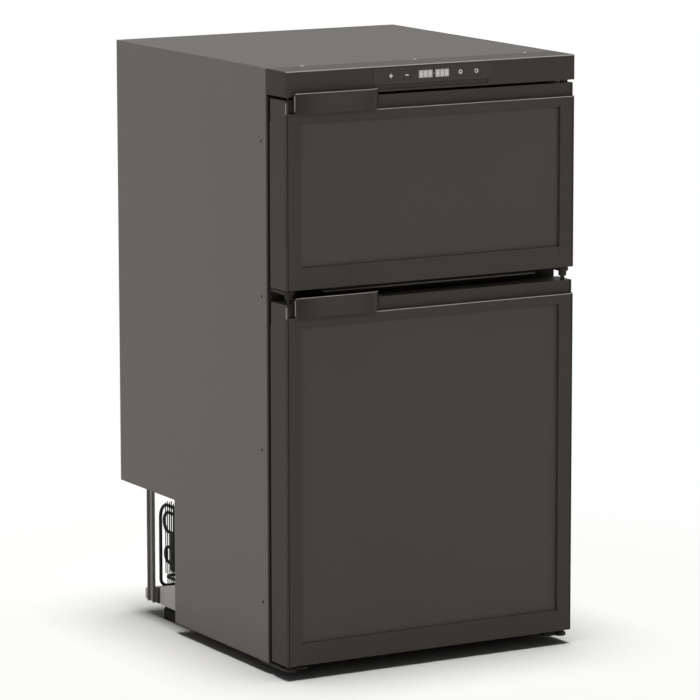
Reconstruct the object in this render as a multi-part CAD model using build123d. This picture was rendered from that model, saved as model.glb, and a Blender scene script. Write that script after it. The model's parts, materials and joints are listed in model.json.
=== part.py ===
from build123d import *
import math
import os

os.makedirs("parts", exist_ok=True)

# Two-door compressor refrigerator for a motor home, in millimetres.
# +Z is up, the doors face -Y, the hinges are on the right (+X) and the floor is z = 0.
# The origin is the middle of the footprint, paddles included.

# Cabinet
width = 450.0              # outside width
height = 822.0             # floor to the top panel
cabinet_depth = 442.0      # side panel, front edge to rear edge
ground_gap = 15.0          # floor to the lower edge of the side panels
sheet = 1.0                # painted steel sheet
front_flange = 18.0        # side panel, folded in at the front
rear_flange = 14.0         # side panel, folded in at the back
bend_radius = 1.6          # outside radius of a fold
bay_depth = 168.0          # compressor bay, measured in from the back
bay_ceiling = 191.0        # height of the bay's ceiling above the floor
slot_length = 20.0         # slots along the top panel's side edges
slot_width = 1.8
slot_pitch = 25.2
slot_count = 10
slot_start = 16.0          # cabinet front to the first slot
foam_chamfer = 7.0         # air channel under the slots
frame_inset = 0.6          # cabinet side to the front frame
frame_radius = 2.0
fascia_frame_gap = 0.5     # fascia to the front frame

# Side fixing holes
fixing_hole_radius = 2.2
fixing_setback = 14.0      # behind the side panel's front edge
fixing_pitch = 209.0
fixing_lowest = 97.0       # height of the lowest hole
fixing_count = 4
fixing_pocket = 23.0       # free depth behind a hole

# Fascia with the controls
fascia_height = 34.0
fascia_wall = 2.2
fascia_front_wall = 3.0
corner_radius = 3.0        # vertical front corners of fascia and doors
tongue_depth = 10.0        # fascia's tongue under the top panel
tongue_thickness = 2.5
module_left, module_right = -92.0, 92.0
module_height = 22.0
module_drop = 2.6          # top of the cabinet to the top of the module
module_proud = 0.5
module_gap = 0.3
scoop_height = 6.6         # shallow band under the module
scoop_depth = 1.4
scoop_margin = 1.2         # module to the band
scoop_end = 6.0            # band's right end, inside the module's
key_centres = {"plus_key": -65.0, "minus_key": -40.5, "power_key": 42.5, "mode_key": 67.5}
key_width, key_height = 15.0, 13.0
key_travel = 0.8
key_gap = 0.3              # behind and below a key
key_fit = 0.15             # round a key in its opening
window_centre = 1.5
window_width, window_height = 52.0, 13.0
board_thickness = 1.6
board_gap = 6.5            # module face plate to the control board

# Doors
front_depth = 54.0         # cabinet front edge to the front of the doors
fascia_door_gap = 4.5
upper_door_height = 253.0
door_gap = 19.0            # between the doors, where the middle bracket sits
door_floor_gap = 20.0      # floor to the lower door
frame_thickness = 3.5      # front frame, ahead of the cabinet
seal_gap = 7.0             # front frame to the back of the doors
seal_clearance = 0.3
stile_width = 23.5
rail_height = 29.0         # bottom rail
rail_face = 13.0           # top rail below the handle channel
channel_height = 18.0
channel_setback = 6.0
panel_recess = 4.5
panel_thickness = 3.0
panel_grip = 2.7           # panel edge held in its groove
groove_clearance = 0.2
profile_depth = 23.0       # stiles and rails, front to back of the hollow section
profile_wall = 2.2
skin = 2.0                 # outer side wall of a door
door_liner_skin = 2.0
end_cap_thickness = 3.0
channel_edge = 0.6         # rounding of the set-back cap's upper edge
liner_margin = 4.0         # door liner inside the door's edge
liner_corner = 6.0

# Gaskets
gasket_inset = 14.0        # door side to the gasket
gasket_end_inset = 5.0     # door top or bottom to the gasket
gasket_width = 12.0
gasket_corner = 4.0

# Liners and insulation
mouth_inset = 27.0         # cabinet side to the mouth of a liner
liner_wall = 1.8
liner_radius = 14.0
rear_insulation = 60.0
bay_insulation = 43.0      # fridge liner to the bay
mouth_lap = 1.0            # frame edge to the gasket's inner edge

# Hinges and catches
hinge_inset = 11.0         # door side to the hinge axis
hinge_setback = 12.0       # door front to the hinge axis
pin_radius = 3.0
pin_clearance = 0.05
pin_reach = 12.0           # pin into a door
bush_radius = 5.0
bush_length = 14.0
arm_thickness = 4.0
arm_clearance = 2.0        # middle arm below the upper door
arm_radius = 8.0
boss_radius = 5.5
bracket_plate = 2.5
plate_reach = 36.0         # hinge axis to the plate's inner edge
plate_margin = 1.8         # middle plate to the doors
plate_screws = (14.0, 28.0)   # hinge axis to the screws of the middle plate
plate_screw_drop = 4.0
top_plate_height = 20.0
boss_drop = 7.0            # boss below the middle bracket's arm
thrust_clearance = 0.3
foot_bracket_reach = 30.0  # bottom bracket under the base pan
foot_bracket_spread = 26.0

# Handle and latch
handle_proud = 9.0         # paddle ahead of the doors
handle_thickness = 3.0
handle_left = 9.0          # door side to the paddle's free end
handle_length = 134.0
handle_rise = 10.0         # paddle above the door's top edge
handle_floor_gap = 1.0     # paddle above the channel ledge
handle_bend = 22.0         # length of the curved end
handle_bend_depth = 11.0
pivot_inset = 10.0         # paddle's curved end to its pivot
pivot_radius = 4.0
trunnion_radius = 2.0
handle_angle = 8.0         # swing of the paddle, degrees
notch_depth = 2.5          # curved end, cut back ahead of the doors to clear the fascia
notch_rise = 3.0           # and above the door's top edge
handle_corner = 4.0
latch_travel = 6.0
bolt_radius = 2.6
bolt_clearance = 0.3
catch_clearance = 0.4
cam_width = 4.0
cam_clearance = 0.4

# Interior
ledge_width, ledge_height = 6.0, 4.0
ledge_lead = 4.0           # ledges start ahead of the crisper
shelf_heights = (300.0, 395.0)
shelf_wire = 1.5
shelf_rim = 2.5            # radius of the front and rear bars
shelf_side = 2.0           # radius of the bars along the sides
shelf_play = 4.0           # side bars to the liner
shelf_wires = 9
shelf_setback = 6.0        # behind the front of the crisper
shelf_back_gap = 20.0
crisper_height = 125.0
crisper_wall = 2.0
crisper_corner = 10.0
crisper_front = 82.0       # cabinet front to the crisper box
crisper_back_gap = 4.0
cover_rise = 8.0           # crisper box to its glass cover
cover_fit = 1.0
cover_glass = 4.0
rack_depth = 56.0
rack_height = 62.0
rack_wall = 2.0
rack_corner = 8.0
rack_pitch = 210.0
evaporator_sheet = 2.0
evaporator_front = 24.0    # cabinet front to the freezer's evaporator
evaporator_side_gap = 2.0
cold_plate_side = 48.0     # liner's side to the cold plate
cold_plate_low = 40.0      # step to the cold plate
cold_plate_high = 60.0     # cold plate to the roof
cold_plate_corner = 10.0
lamp_setback = 50.0
lamp_width, lamp_depth, lamp_height = 64.0, 22.0, 10.0
lamp_edge = 3.0

# Compressor bay
tray_sheet = 1.5
tray_floor = 20.0          # height of the tray's underside
tray_inset = 24.0          # cabinet side to the tray
tray_back_gap = 28.0       # back of the cabinet to the back of the tray
tray_low_height = 15.0     # tray's rear wall and the rear of its side walls
tray_step = 33.5           # tray's back to the step in its side walls
tray_step_height = 23.0    # side wall at the step, from where it rises to the front
tray_front_height = 48.0
post_width, post_depth, post_sheet = 5.0, 17.0, 1.2
post_setback = 16.0        # tray's back to a post
clip_thickness = 3.0
clip_length, clip_height = 12.5, 22.0
skid_width = 30.0
skid_corner = 4.0
skid_inset = 26.0          # cabinet side to a skid
pad_inset = 2.0            # raised pad under the tray
skid_setback = 36.0        # cabinet front to a skid
skid_rear_gap = 51.0       # tray's rear edge to the rear of a skid
compressor_radius = 62.0
pot_height = 128.0
pot_shoulder = 34.0        # rounding of the pot's dome
pot_flange = (62.0, 66.0)  # weld flange, above the base plate
pot_flange_width = 3.0
mount_height, mount_radius = 12.0, 8.0
mount_spread = (72.0, 44.0)   # from the pot's axis
plate_spread = (84.0, 56.0)   # half the compressor's base plate
plate_sheet = 3.0
plate_corner_radius = 12.0
suction_port, discharge_port = 4.5, 4.0   # radii of the ports
port_height = 4.0
inverter_gap = 30.0        # compressor to the inverter box
inverter_setback = 26.0    # bay front to the inverter box
inverter_width, inverter_length, inverter_height = 42.0, 90.0, 92.0
fin_count, fin_pitch = 8, 10.0
fin_depth, fin_half, fin_margin = 10.0, 1.0, 6.0
inverter_corner = 3.0
strip_depth, strip_height = 12.0, 20.0
strip_inset, strip_drop = 6.0, 16.0   # terminal strip below the inverter's top
pole_count, pole_pitch, pole_radius = 3, 9.0, 2.4
fan_radius = 40.0

# Places worked out from the sizes above
half = width / 2
overall_depth = cabinet_depth + front_depth + handle_proud
front = -overall_depth / 2 + handle_proud + front_depth   # cabinet's front edge
back = front + cabinet_depth
door_front = front - front_depth
frame_front = front - frame_thickness
door_back = frame_front - seal_gap
bay_front = back - bay_depth
fascia_bottom = height - fascia_height
upper_top = fascia_bottom - fascia_door_gap
upper_bottom = upper_top - upper_door_height
lower_top = upper_bottom - door_gap
lower_bottom = door_floor_gap
hinge_x = half - hinge_inset
hinge_y = door_front + hinge_setback
mouth_half = half - mouth_inset
freezer_floor = upper_bottom + gasket_end_inset + gasket_width + mouth_lap
freezer_roof = upper_top - gasket_end_inset - gasket_width - mouth_lap
fridge_floor = lower_bottom + gasket_end_inset + gasket_width + mouth_lap
fridge_roof = lower_top - gasket_end_inset - gasket_width - mouth_lap
cavity_back = back - rear_insulation
low_cavity_back = bay_front - bay_insulation
step_top = bay_ceiling + bay_insulation
channel_face = door_front + channel_setback
module_top = height - module_drop
module_bottom = module_top - module_height
module_middle = (module_top + module_bottom) / 2
arm_top = upper_bottom - arm_clearance
arm_bottom = arm_top - arm_thickness
boss_bottom = arm_bottom - boss_drop


def slab(x, y, z):
    """A block between two values on each axis."""
    size = [span[1] - span[0] for span in (x, y, z)]
    middle = [(span[0] + span[1]) / 2 for span in (x, y, z)]
    return Pos(*middle) * Box(*size)


def post(x, y, z, radius):
    """A round bar standing between two heights."""
    return Pos(x, y, (z[0] + z[1]) / 2) * Cylinder(radius, z[1] - z[0])


def bar_x(x, y, z, radius):
    """A round bar along X."""
    return Pos((x[0] + x[1]) / 2, y, z) * Rot(0, 90, 0) * Cylinder(radius, x[1] - x[0])


def bar_y(x, y, z, radius):
    """A round bar along Y."""
    return Pos(x, (y[0] + y[1]) / 2, z) * Rot(90, 0, 0) * Cylinder(radius, y[1] - y[0])


def side_view(points, x):
    """A shape drawn from the side, as depth and height, and drawn out between two x values."""
    face = make_face(Polyline(*[(x[0], py, pz) for py, pz in points], close=True))
    return extrude(face, amount=x[1] - x[0], dir=(1, 0, 0))


def upright_edges(shape, x, y, reach=0.01):
    """The upright edges of a shape at one place in plan."""
    found = []
    for edge in shape.edges().filter_by(Axis.Z):
        middle = edge.center()
        if abs(middle.X - x) < reach and abs(middle.Y - y) < reach:
            found.append(edge)
    return found


def mirrored(shape):
    return mirror(shape, about=Plane.YZ)


def save(name, *solids):
    """Write one named piece, or a group of like pieces."""
    parts = []
    for item in solids:
        parts.extend(item.solids())
    whole = parts[0] if len(parts) == 1 else Compound(parts)
    export_step(whole, f"parts/{name}.step")


def fixing_heights():
    return [fixing_lowest + i * fixing_pitch for i in range(fixing_count)]


# Side panels: a U-shaped fold in plan, cut away at the lower rear for the compressor bay
def side_panel():
    outer = slab((-half, -half + front_flange), (front, back), (ground_gap, height))
    outer = fillet(upright_edges(outer, -half, front) + upright_edges(outer, -half, back), bend_radius)
    hollow = slab((-half + sheet, half), (front + sheet, back - sheet), (0, height + sheet))
    inner_corners = upright_edges(hollow, -half + sheet, front + sheet)
    inner_corners += upright_edges(hollow, -half + sheet, back - sheet)
    hollow = fillet(inner_corners, bend_radius - sheet)
    trim = slab((-half + rear_flange, half), (back - 2 * sheet, back + sheet), (0, height + sheet))
    bay = slab((-half - sheet, half), (bay_front, back + sheet), (0, bay_ceiling))
    top_notch = slab((-half + sheet, half), (front - sheet, back + sheet), (height - sheet, height + sheet))
    panel = outer - hollow - trim - bay - top_notch
    fold_z = (ground_gap, ground_gap + sheet)
    panel += slab((-half + sheet, -half + front_flange), (front + sheet, bay_front), fold_z)
    for z in fixing_heights():
        panel -= bar_x((-half - sheet, -half + 2 * sheet), front + fixing_setback, z, fixing_hole_radius)
    return panel


left_panel = side_panel()
save("side_panel_left", left_panel)
save("side_panel_right", mirrored(left_panel))


# Top panel: a flat sheet between the sides with a folded rear lip and a row of slots along each side
def top_panel():
    edge = half - sheet
    panel = slab((-edge, edge), (front, back - sheet), (height - sheet, height))
    lip_half = half - rear_flange - module_gap
    panel += slab((-lip_half, lip_half), (back - sheet, back), (height - rear_flange, height))
    for i in range(slot_count):
        y = front + slot_start + i * slot_pitch
        through = (height - 2 * sheet, height + sheet)
        slot = slab((-edge - sheet, -edge + slot_width), (y, y + slot_length), through)
        panel = panel - slot - mirrored(slot)
    return panel


screw_depth = front + 4.0
screw_places = (-168.0, 6.0, 180.0)
screw_head, screw_shank, screw_length = 3.0, 1.5, 3.4


def countersunk(x, y, top, length):
    """A countersunk screw, head flush with the surface at this height."""
    sink = screw_head - screw_shank
    head = Pos(x, y, top - sink / 2) * Cone(screw_shank, screw_head, sink)
    return head + post(x, y, (top - length, top - sink), screw_shank)


roof_sheet = top_panel()
for x in screw_places:
    roof_sheet -= countersunk(x, screw_depth, height, screw_length)
save("top_panel", roof_sheet)

# Back panel, bay liner and base pan
panel_half = half - bend_radius
back_z = (bay_ceiling + sheet, height - sheet)
save("back_panel", slab((-panel_half, panel_half), (back - 2 * sheet, back - sheet), back_z))

bay_profile = [
    (bay_front - sheet, ground_gap + sheet),
    (bay_front, ground_gap + sheet),
    (bay_front, bay_ceiling),
    (back - sheet, bay_ceiling),
    (back - sheet, bay_ceiling + sheet),
    (bay_front - sheet, bay_ceiling + sheet),
]
save("bay_liner", side_view(bay_profile, (-panel_half, panel_half)))

pan_half = half - front_flange - module_gap
base = slab((-pan_half, pan_half), (front, bay_front), (ground_gap, ground_gap + sheet))
save("base_pan", base)


# Liners: thermoformed boxes with rounded corners, open at the front
def liner_box(floor, roof, depth, grow):
    """The inside of a liner, or its outside when grown by the wall."""
    box = slab((-mouth_half - grow, mouth_half + grow), (front, depth + grow), (floor - grow, roof + grow))
    far_edges = box.edges().filter_by(Axis.Y) + box.edges().group_by(Axis.Y)[-1]
    return fillet(far_edges, liner_radius + grow)


def fridge_box(grow):
    """The fridge cavity: deep above the compressor bay, shallow in front of it."""
    profile = [
        (front, fridge_floor - grow),
        (low_cavity_back + grow, fridge_floor - grow),
        (low_cavity_back + grow, step_top - grow),
        (cavity_back + grow, step_top - grow),
        (cavity_back + grow, fridge_roof + grow),
        (front, fridge_roof + grow),
    ]
    box = side_view(profile, (-mouth_half - grow, mouth_half + grow))
    long_edges = [e for e in box.edges().filter_by(Axis.Y) if e.length > step_top / 2]
    return fillet(long_edges, liner_radius + grow)


def ledge(z, depth):
    """A moulded shelf support on both side walls."""
    run = (front + crisper_front - ledge_lead, depth - liner_radius)
    one = slab((-mouth_half - liner_wall / 2, -mouth_half + ledge_width), run, (z - ledge_height, z))
    return one + mirrored(one)


freezer_shell = liner_box(freezer_floor, freezer_roof, cavity_back, liner_wall)
save("freezer_liner", freezer_shell - liner_box(freezer_floor, freezer_roof, cavity_back, 0))

cover_height = fridge_floor + crisper_height + cover_rise
fridge_shell = fridge_box(liner_wall)
fridge_liner = fridge_shell - fridge_box(0)
fridge_liner += ledge(cover_height, low_cavity_back)
for z in shelf_heights:
    fridge_liner += ledge(z, cavity_back)
save("fridge_liner", fridge_liner)

# Foam between the sheets and the liners
foam_profile = [
    (front + sheet, ground_gap + sheet),
    (bay_front - sheet, ground_gap + sheet),
    (bay_front - sheet, bay_ceiling + sheet),
    (back - 2 * sheet, bay_ceiling + sheet),
    (back - 2 * sheet, height - sheet),
    (front + sheet, height - sheet),
]
foam = side_view(foam_profile, (-panel_half, panel_half))
top_edges = [e for e in foam.edges().filter_by(Axis.Y) if e.center().Z > height - 2 * sheet]
foam = chamfer(top_edges, foam_chamfer)
foam = foam - freezer_shell - fridge_shell
tongue_bottom = height - sheet - tongue_thickness
foam -= slab((-half, half), (front, front + tongue_depth + module_gap), (tongue_bottom - module_gap, height))
for z in fixing_heights():
    pocket = bar_x((-half, -half + fixing_pocket), front + fixing_setback, z, fixing_hole_radius + sheet)
    foam = foam - pocket - mirrored(pocket)
save("insulation", foam)


# Front frame: the face that the gaskets close on, with the divider between the two mouths
def front_frame():
    reach = half - frame_inset
    frame = slab((-reach, reach), (frame_front, front), (ground_gap + sheet, fascia_bottom - fascia_frame_gap))
    frame = fillet(frame.edges().filter_by(Axis.Y), frame_radius)
    for floor, roof in ((freezer_floor, freezer_roof), (fridge_floor, fridge_roof)):
        mouth = slab((-mouth_half, mouth_half), (frame_front - 1, front + 1), (floor, roof))
        frame -= fillet(mouth.edges().filter_by(Axis.Y), liner_radius)
    return frame


save("front_frame", front_frame())


# Fascia: a hollow moulding across the front with an opening for the control module
def fascia():
    body = slab((-half, half), (door_front, front), (fascia_bottom, height))
    corners = upright_edges(body, -half, door_front) + upright_edges(body, half, door_front)
    body = fillet(corners, corner_radius)
    body -= slab(
        (-half + fascia_wall, half - fascia_wall),
        (door_front + fascia_front_wall, front + 1),
        (fascia_bottom + fascia_wall, height - fascia_wall),
    )
    tongue_half = half - front_flange - module_gap
    tongue_z = (tongue_bottom, height - sheet)
    body += slab((-tongue_half, tongue_half), (front - 1, front + tongue_depth), tongue_z)
    body -= slab(
        (module_left - module_gap, module_right + module_gap),
        (door_front - 1, door_front + fascia_front_wall + 1),
        (module_bottom - module_gap, module_top + module_gap),
    )
    body -= slab(
        (module_left, module_right - scoop_end),
        (door_front - 1, door_front + scoop_depth),
        (module_bottom - scoop_height, module_bottom - scoop_margin),
    )
    floor_span = (fascia_bottom - 1, fascia_bottom + fascia_wall + 1)
    body -= post(hinge_x, hinge_y, floor_span, boss_radius + bolt_clearance)
    body -= post(-hinge_x, hinge_y, floor_span, bolt_radius + bolt_clearance)
    for x in screw_places:
        body -= countersunk(x, screw_depth, height, screw_length)
    return body


save("fascia", fascia())


# Control module: face plate with four key openings and a display window, and legs for the board
module_front = door_front - module_proud
plate_thickness = fascia_front_wall
plate_corner = 1.5
board_front = module_front + plate_thickness + board_gap
key_flange, key_lip = 1.2, 1.0
key_corner, window_corner = 2.0, 1.0
pane_recess = 0.2
board_inset = (2.0, 1.0)   # module's edge to the board's, sideways and upright
block_inset, block_lap = 2.0, 1.0   # display block inside the window's ends, past its top
switch_height, switch_size, switch_corner = 1.5, 6.0, 0.8
stem_radius = 2.0
leg_inset, leg_radius = 8.0, 3.0


def tile(x, y, width_x, height_z, radius):
    """A flat tile with rounded corners on the module's middle line, between two depths."""
    z = (module_middle - height_z / 2, module_middle + height_z / 2)
    block = slab((x - width_x / 2, x + width_x / 2), y, z)
    return fillet(block.edges().filter_by(Axis.Y), radius)


def control_module():
    plate_y = (module_front, module_front + plate_thickness)
    plate = slab((module_left, module_right), plate_y, (module_bottom, module_top))
    plate = fillet(plate.edges().filter_by(Axis.Y), plate_corner)
    through = (module_front - 1, module_front + plate_thickness + 1)
    for x in key_centres.values():
        plate -= tile(x, through, key_width, key_height, key_corner)
    plate -= tile(window_centre, through, window_width, window_height, window_corner)
    leg_y = (module_front + plate_thickness / 2, board_front)
    leg = bar_y(module_left + leg_inset, leg_y, module_middle, leg_radius)
    return plate + leg + mirrored(leg)


save("control_module", control_module())
pane_y = (module_front + pane_recess, module_front + plate_thickness)
save("display_window", tile(window_centre, pane_y, window_width, window_height, window_corner))


def control_key(x):
    """A key cap with a wider flange behind the plate and a stem to its switch."""
    flange_front = module_front + plate_thickness + key_gap
    cap_size = key_width - 2 * key_fit, key_height - 2 * key_fit
    cap = tile(x, (module_front, flange_front), *cap_size, key_corner - key_fit)
    flange_size = key_width + 2 * key_lip, key_height + 2 * key_lip
    flange = tile(x, (flange_front, flange_front + key_flange), *flange_size, key_corner)
    stem_end = board_front - switch_height - key_travel - key_gap
    stem = bar_y(x, (flange_front, stem_end), module_middle, stem_radius)
    return cap + flange + stem


for name, x in key_centres.items():
    save(name, control_key(x))


def control_board():
    """The board with a switch behind each key and the display block behind the window."""
    board_y = (board_front, board_front + board_thickness)
    board_x = (module_left + board_inset[0], module_right - board_inset[0])
    board = slab(board_x, board_y, (module_bottom + board_inset[1], module_top - board_inset[1]))
    for x in key_centres.values():
        board += tile(x, (board_front - switch_height, board_y[1]), switch_size, switch_size, switch_corner)
    block_y = (module_front + plate_thickness + key_gap, board_y[1])
    block_size = window_width - 2 * block_inset, window_height + 2 * block_lap
    return board + tile(window_centre, block_y, *block_size, window_corner)


save("control_board", control_board())


# Brackets: the same pressed parts serve left and right; only the right ones carry pins
def arm(z, y_back, spread):
    """A flat arm, rounded at the hinge axis, running back from it."""
    strip = slab((hinge_x - spread, hinge_x + arm_radius), (hinge_y, y_back), z)
    return strip + post(hinge_x, hinge_y, z, arm_radius)


def middle_bracket(pinned):
    plate_x = (hinge_x - plate_reach, hinge_x + arm_radius)
    plate_z = (lower_top + plate_margin, upper_bottom - plate_margin)
    shape = slab(plate_x, (frame_front - bracket_plate, frame_front), plate_z)
    shape += arm((arm_bottom, arm_top), frame_front, arm_radius)
    shape += post(hinge_x, hinge_y, (boss_bottom, upper_bottom - thrust_clearance), boss_radius)
    if pinned:
        pin_z = (lower_top - pin_reach, upper_bottom + pin_reach)
        return shape + post(hinge_x, hinge_y, pin_z, pin_radius)
    return shape - post(hinge_x, hinge_y, (boss_bottom - 1, upper_bottom), bolt_radius + bolt_clearance)


def bottom_bracket(pinned):
    underside = ground_gap - arm_thickness
    shape = arm((underside, ground_gap), front + foot_bracket_reach, foot_bracket_spread)
    shape += post(hinge_x, hinge_y, (underside, lower_bottom - thrust_clearance), boss_radius)
    if pinned:
        return shape + post(hinge_x, hinge_y, (underside, lower_bottom + pin_reach), pin_radius)
    return shape - post(hinge_x, hinge_y, (underside - 1, lower_bottom), pin_radius + bolt_clearance)


def top_bracket(pinned):
    shelf = fascia_bottom + fascia_wall
    shape = arm((shelf, shelf + arm_thickness), front, arm_radius)
    plate_x = (hinge_x - plate_reach, hinge_x + arm_radius)
    shape += slab(plate_x, (front - bracket_plate, front), (shelf, shelf + top_plate_height))
    if pinned:
        shape += post(hinge_x, hinge_y, (upper_top + thrust_clearance, shelf), boss_radius)
        return shape + post(hinge_x, hinge_y, (upper_top - pin_reach, shelf), pin_radius)
    return shape - post(hinge_x, hinge_y, (shelf - 1, shelf + arm_thickness + 1), bolt_radius + bolt_clearance)


save("hinge_brackets", top_bracket(True), middle_bracket(True), bottom_bracket(True))
catches = [top_bracket(False), middle_bracket(False), bottom_bracket(False)]
save("catch_brackets", *[mirrored(shape) for shape in catches])

# Screws: three along the top seam, two in each middle bracket
head_height, head_radius = 1.6, 3.2
screws = [countersunk(x, screw_depth, height, screw_length) for x in screw_places]
for side in (-1, 1):
    for offset in plate_screws:
        x = side * (hinge_x - offset)
        z = (lower_top + upper_bottom) / 2 - plate_screw_drop
        head_y = (frame_front - bracket_plate - head_height, frame_front - bracket_plate)
        screws.append(bar_y(x, head_y, z, head_radius))
save("panel_screws", *screws)

# Skids under the base pan and the tray
skid_left = -half + skid_inset
skid_rear = back - tray_back_gap - skid_rear_gap
skid = slab((skid_left, skid_left + skid_width), (front + skid_setback, skid_rear), (0, ground_gap))
skid = fillet(skid.edges().filter_by(Axis.Z), skid_corner)
pad_x = (skid_left + pad_inset, skid_left + skid_width - pad_inset)
skid += slab(pad_x, (bay_front + pad_inset, skid_rear - pad_inset), (ground_gap, tray_floor))
save("base_skids", skid, mirrored(skid))

# Doors: a frame of four profiles round an insert panel, foam, an inner liner and a gasket
inner = half - stile_width
panel_front = door_front + panel_recess
panel_back = panel_front + panel_thickness
profile_back = door_front + profile_depth
core_back = door_back - door_liner_skin
groove = (panel_front - groove_clearance, panel_back + groove_clearance)
groove_depth = panel_grip + groove_clearance
lip_wall = 3.6             # stile wall that holds the panel groove
chamber_x = (-half + profile_wall, -inner - lip_wall)
chamber_y = (door_front + profile_wall, profile_back - profile_wall)


def stile(bottom, top):
    """A hollow upright profile with a rounded front corner and a groove for the panel."""
    body = slab((-half, -inner), (door_front, profile_back), (bottom, top))
    body = fillet(upright_edges(body, -half, door_front), corner_radius)
    body -= slab(chamber_x, chamber_y, (bottom - 1, top + 1))
    body += slab((-half, -half + skin), (profile_back - skin, door_back), (bottom, top))
    body -= slab((-inner - groove_depth, -inner + 1), groove, (bottom - 1, top + 1))
    return body


def bottom_rail(bottom):
    """A hollow rail between the stiles, with a thin floor that closes the door below the foam."""
    top = bottom + rail_height
    body = slab((-inner, inner), (door_front, profile_back), (bottom, top))
    body -= slab((-inner - 1, inner + 1), chamber_y, (bottom + profile_wall, top - profile_wall - groove_depth))
    body -= slab((-inner - 1, inner + 1), groove, (top - groove_depth, top + 1))
    return body + slab((-half + skin, half - skin), (profile_back, core_back), (bottom, bottom + skin))


# Handle mechanism, measured from the door's side and top
latch_x, latch_y = -hinge_x, hinge_y
handle_x = -half + handle_left
handle_end = handle_x + handle_length
pivot_x = handle_end - pivot_inset
pivot_y = door_front + pivot_radius
lug_thickness, lug_radius = 3.0, 4.2
barrel_pocket = 9.0        # half the width of the pocket round the barrel
barrel_pocket_depth = 3.5
web_half, web_setback, web_margin = 3.0, 5.0, 2.0   # web from the paddle to its barrel
trunnion_reach = 4.5       # lower trunnion in the ledge
trunnion_end_gap = 0.5
pocket_wall = 2.0          # above and beside the pockets
pocket_floor = 1.5         # above the channel ledge
pocket_face = 1.5          # ahead of the cam pocket
pocket_side = (6.0, 4.0)   # bolt's axis and cam rib to the pocket's sides
cam_offset = 7.0           # bolt's axis to the cam rib
cam_x = (latch_x + cam_offset, latch_x + cam_offset + cam_width)
cam_arm = pivot_x - sum(cam_x) / 2
swing = math.radians(handle_angle)
cam_stroke = cam_arm * math.sin(swing)
cam_slope = latch_travel / cam_stroke
cam_thin = 2.0             # cam rib where it meets the bolt at rest
cam_lap = 0.6              # rib behind the bolt when it is pulled right out
cam_end_gap = 1.0
cam_rear = hinge_y + cam_stroke + cam_lap
cam_roof_gap = 0.5
cam_root = 1.0             # rib sunk into the paddle
block_height, block_depth = 4.0, 4.0
block_side = (4.0, 2.0)    # shoulder past the bolt's axis and past the cam rib
guide_length = 12.0
guide_end_gap = 1.0
bolt_nose = 1.2
face_inside = channel_face + pocket_face
cam_drift = cam_arm * (1 / math.cos(swing) - 1) + (face_inside - pivot_y) * math.tan(swing)
rib_reach = (face_inside - pivot_y) / math.cos(swing) + (cam_arm + cam_width / 2) * math.tan(swing)
rib_at_face = cam_thin + cam_slope * (pivot_y + rib_reach - hinge_y)
cam_slot_x = (cam_x[0] - cam_drift - 2 * cam_clearance, cam_x[1] + 2 * cam_clearance)
pocket_x = (latch_x - pocket_side[0], cam_x[1] + pocket_side[1])
recess_inset = 12.0        # pivot to the finger recess
recess_x = (pocket_x[1] + pocket_wall, pivot_x - recess_inset)
recess_depth = 12.0


def block_top(top):
    """Height of the bolt's shoulder at rest in a door with this top."""
    return top - pocket_wall - cam_roof_gap - cam_thin - cam_clearance


def top_rail(top):
    """Top rail with the set-back handle channel and the pockets of the handle mechanism."""
    ledge_z = top - channel_height
    bottom = ledge_z - rail_face
    body = slab((-half, half), (door_front, core_back), (bottom, ledge_z))
    corners = upright_edges(body, -half, door_front) + upright_edges(body, half, door_front)
    body = fillet(corners, corner_radius)
    band_half = half - end_cap_thickness
    body += slab((-band_half, band_half), (channel_face, core_back), (ledge_z, top))
    body -= slab((-inner - groove_depth, inner + groove_depth), groove, (bottom - 1, bottom + groove_depth))
    pocket_z = (ledge_z + pocket_floor, top - pocket_wall)
    body -= slab(pocket_x, (face_inside, cam_rear + cam_end_gap), pocket_z)
    slot_z = (pocket_z[1] - cam_roof_gap - rib_at_face - cam_clearance, pocket_z[1])
    body -= slab(cam_slot_x, (channel_face - 1, face_inside + 1), slot_z)
    body -= slab(recess_x, (channel_face - 1, channel_face + recess_depth), pocket_z)
    barrel_x = (pivot_x - barrel_pocket, pivot_x + barrel_pocket)
    barrel_y = (channel_face - 1, channel_face + barrel_pocket_depth)
    body -= slab(barrel_x, barrel_y, (ledge_z, top - lug_thickness))
    lug_z = (top - lug_thickness, top)
    body += slab((pivot_x - lug_radius, pivot_x + lug_radius), (pivot_y, channel_face + 1), lug_z)
    body += post(pivot_x, pivot_y, lug_z, lug_radius)
    trunnion_z = (ledge_z - trunnion_reach - trunnion_end_gap, top + 1)
    body -= post(pivot_x, pivot_y, trunnion_z, trunnion_radius + pin_clearance)
    guide_end = block_top(top) - block_height - guide_length - latch_travel - guide_end_gap
    body -= post(latch_x, latch_y, (guide_end, top + 1), bolt_radius + bolt_clearance)
    body -= post(hinge_x, hinge_y, (top - bush_length, top + 1), bush_radius)
    return body


def end_cap(top, face, radius):
    """The cap at one end of the handle channel, as far forward as its face."""
    cap = slab((-half, -half + end_cap_thickness), (face, core_back), (top - channel_height, top))
    upper_edges = cap.edges().filter_by(Axis.X).group_by(Axis.Z)[-1]
    return fillet(upper_edges.sort_by(Axis.Y)[0], radius)


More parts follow.
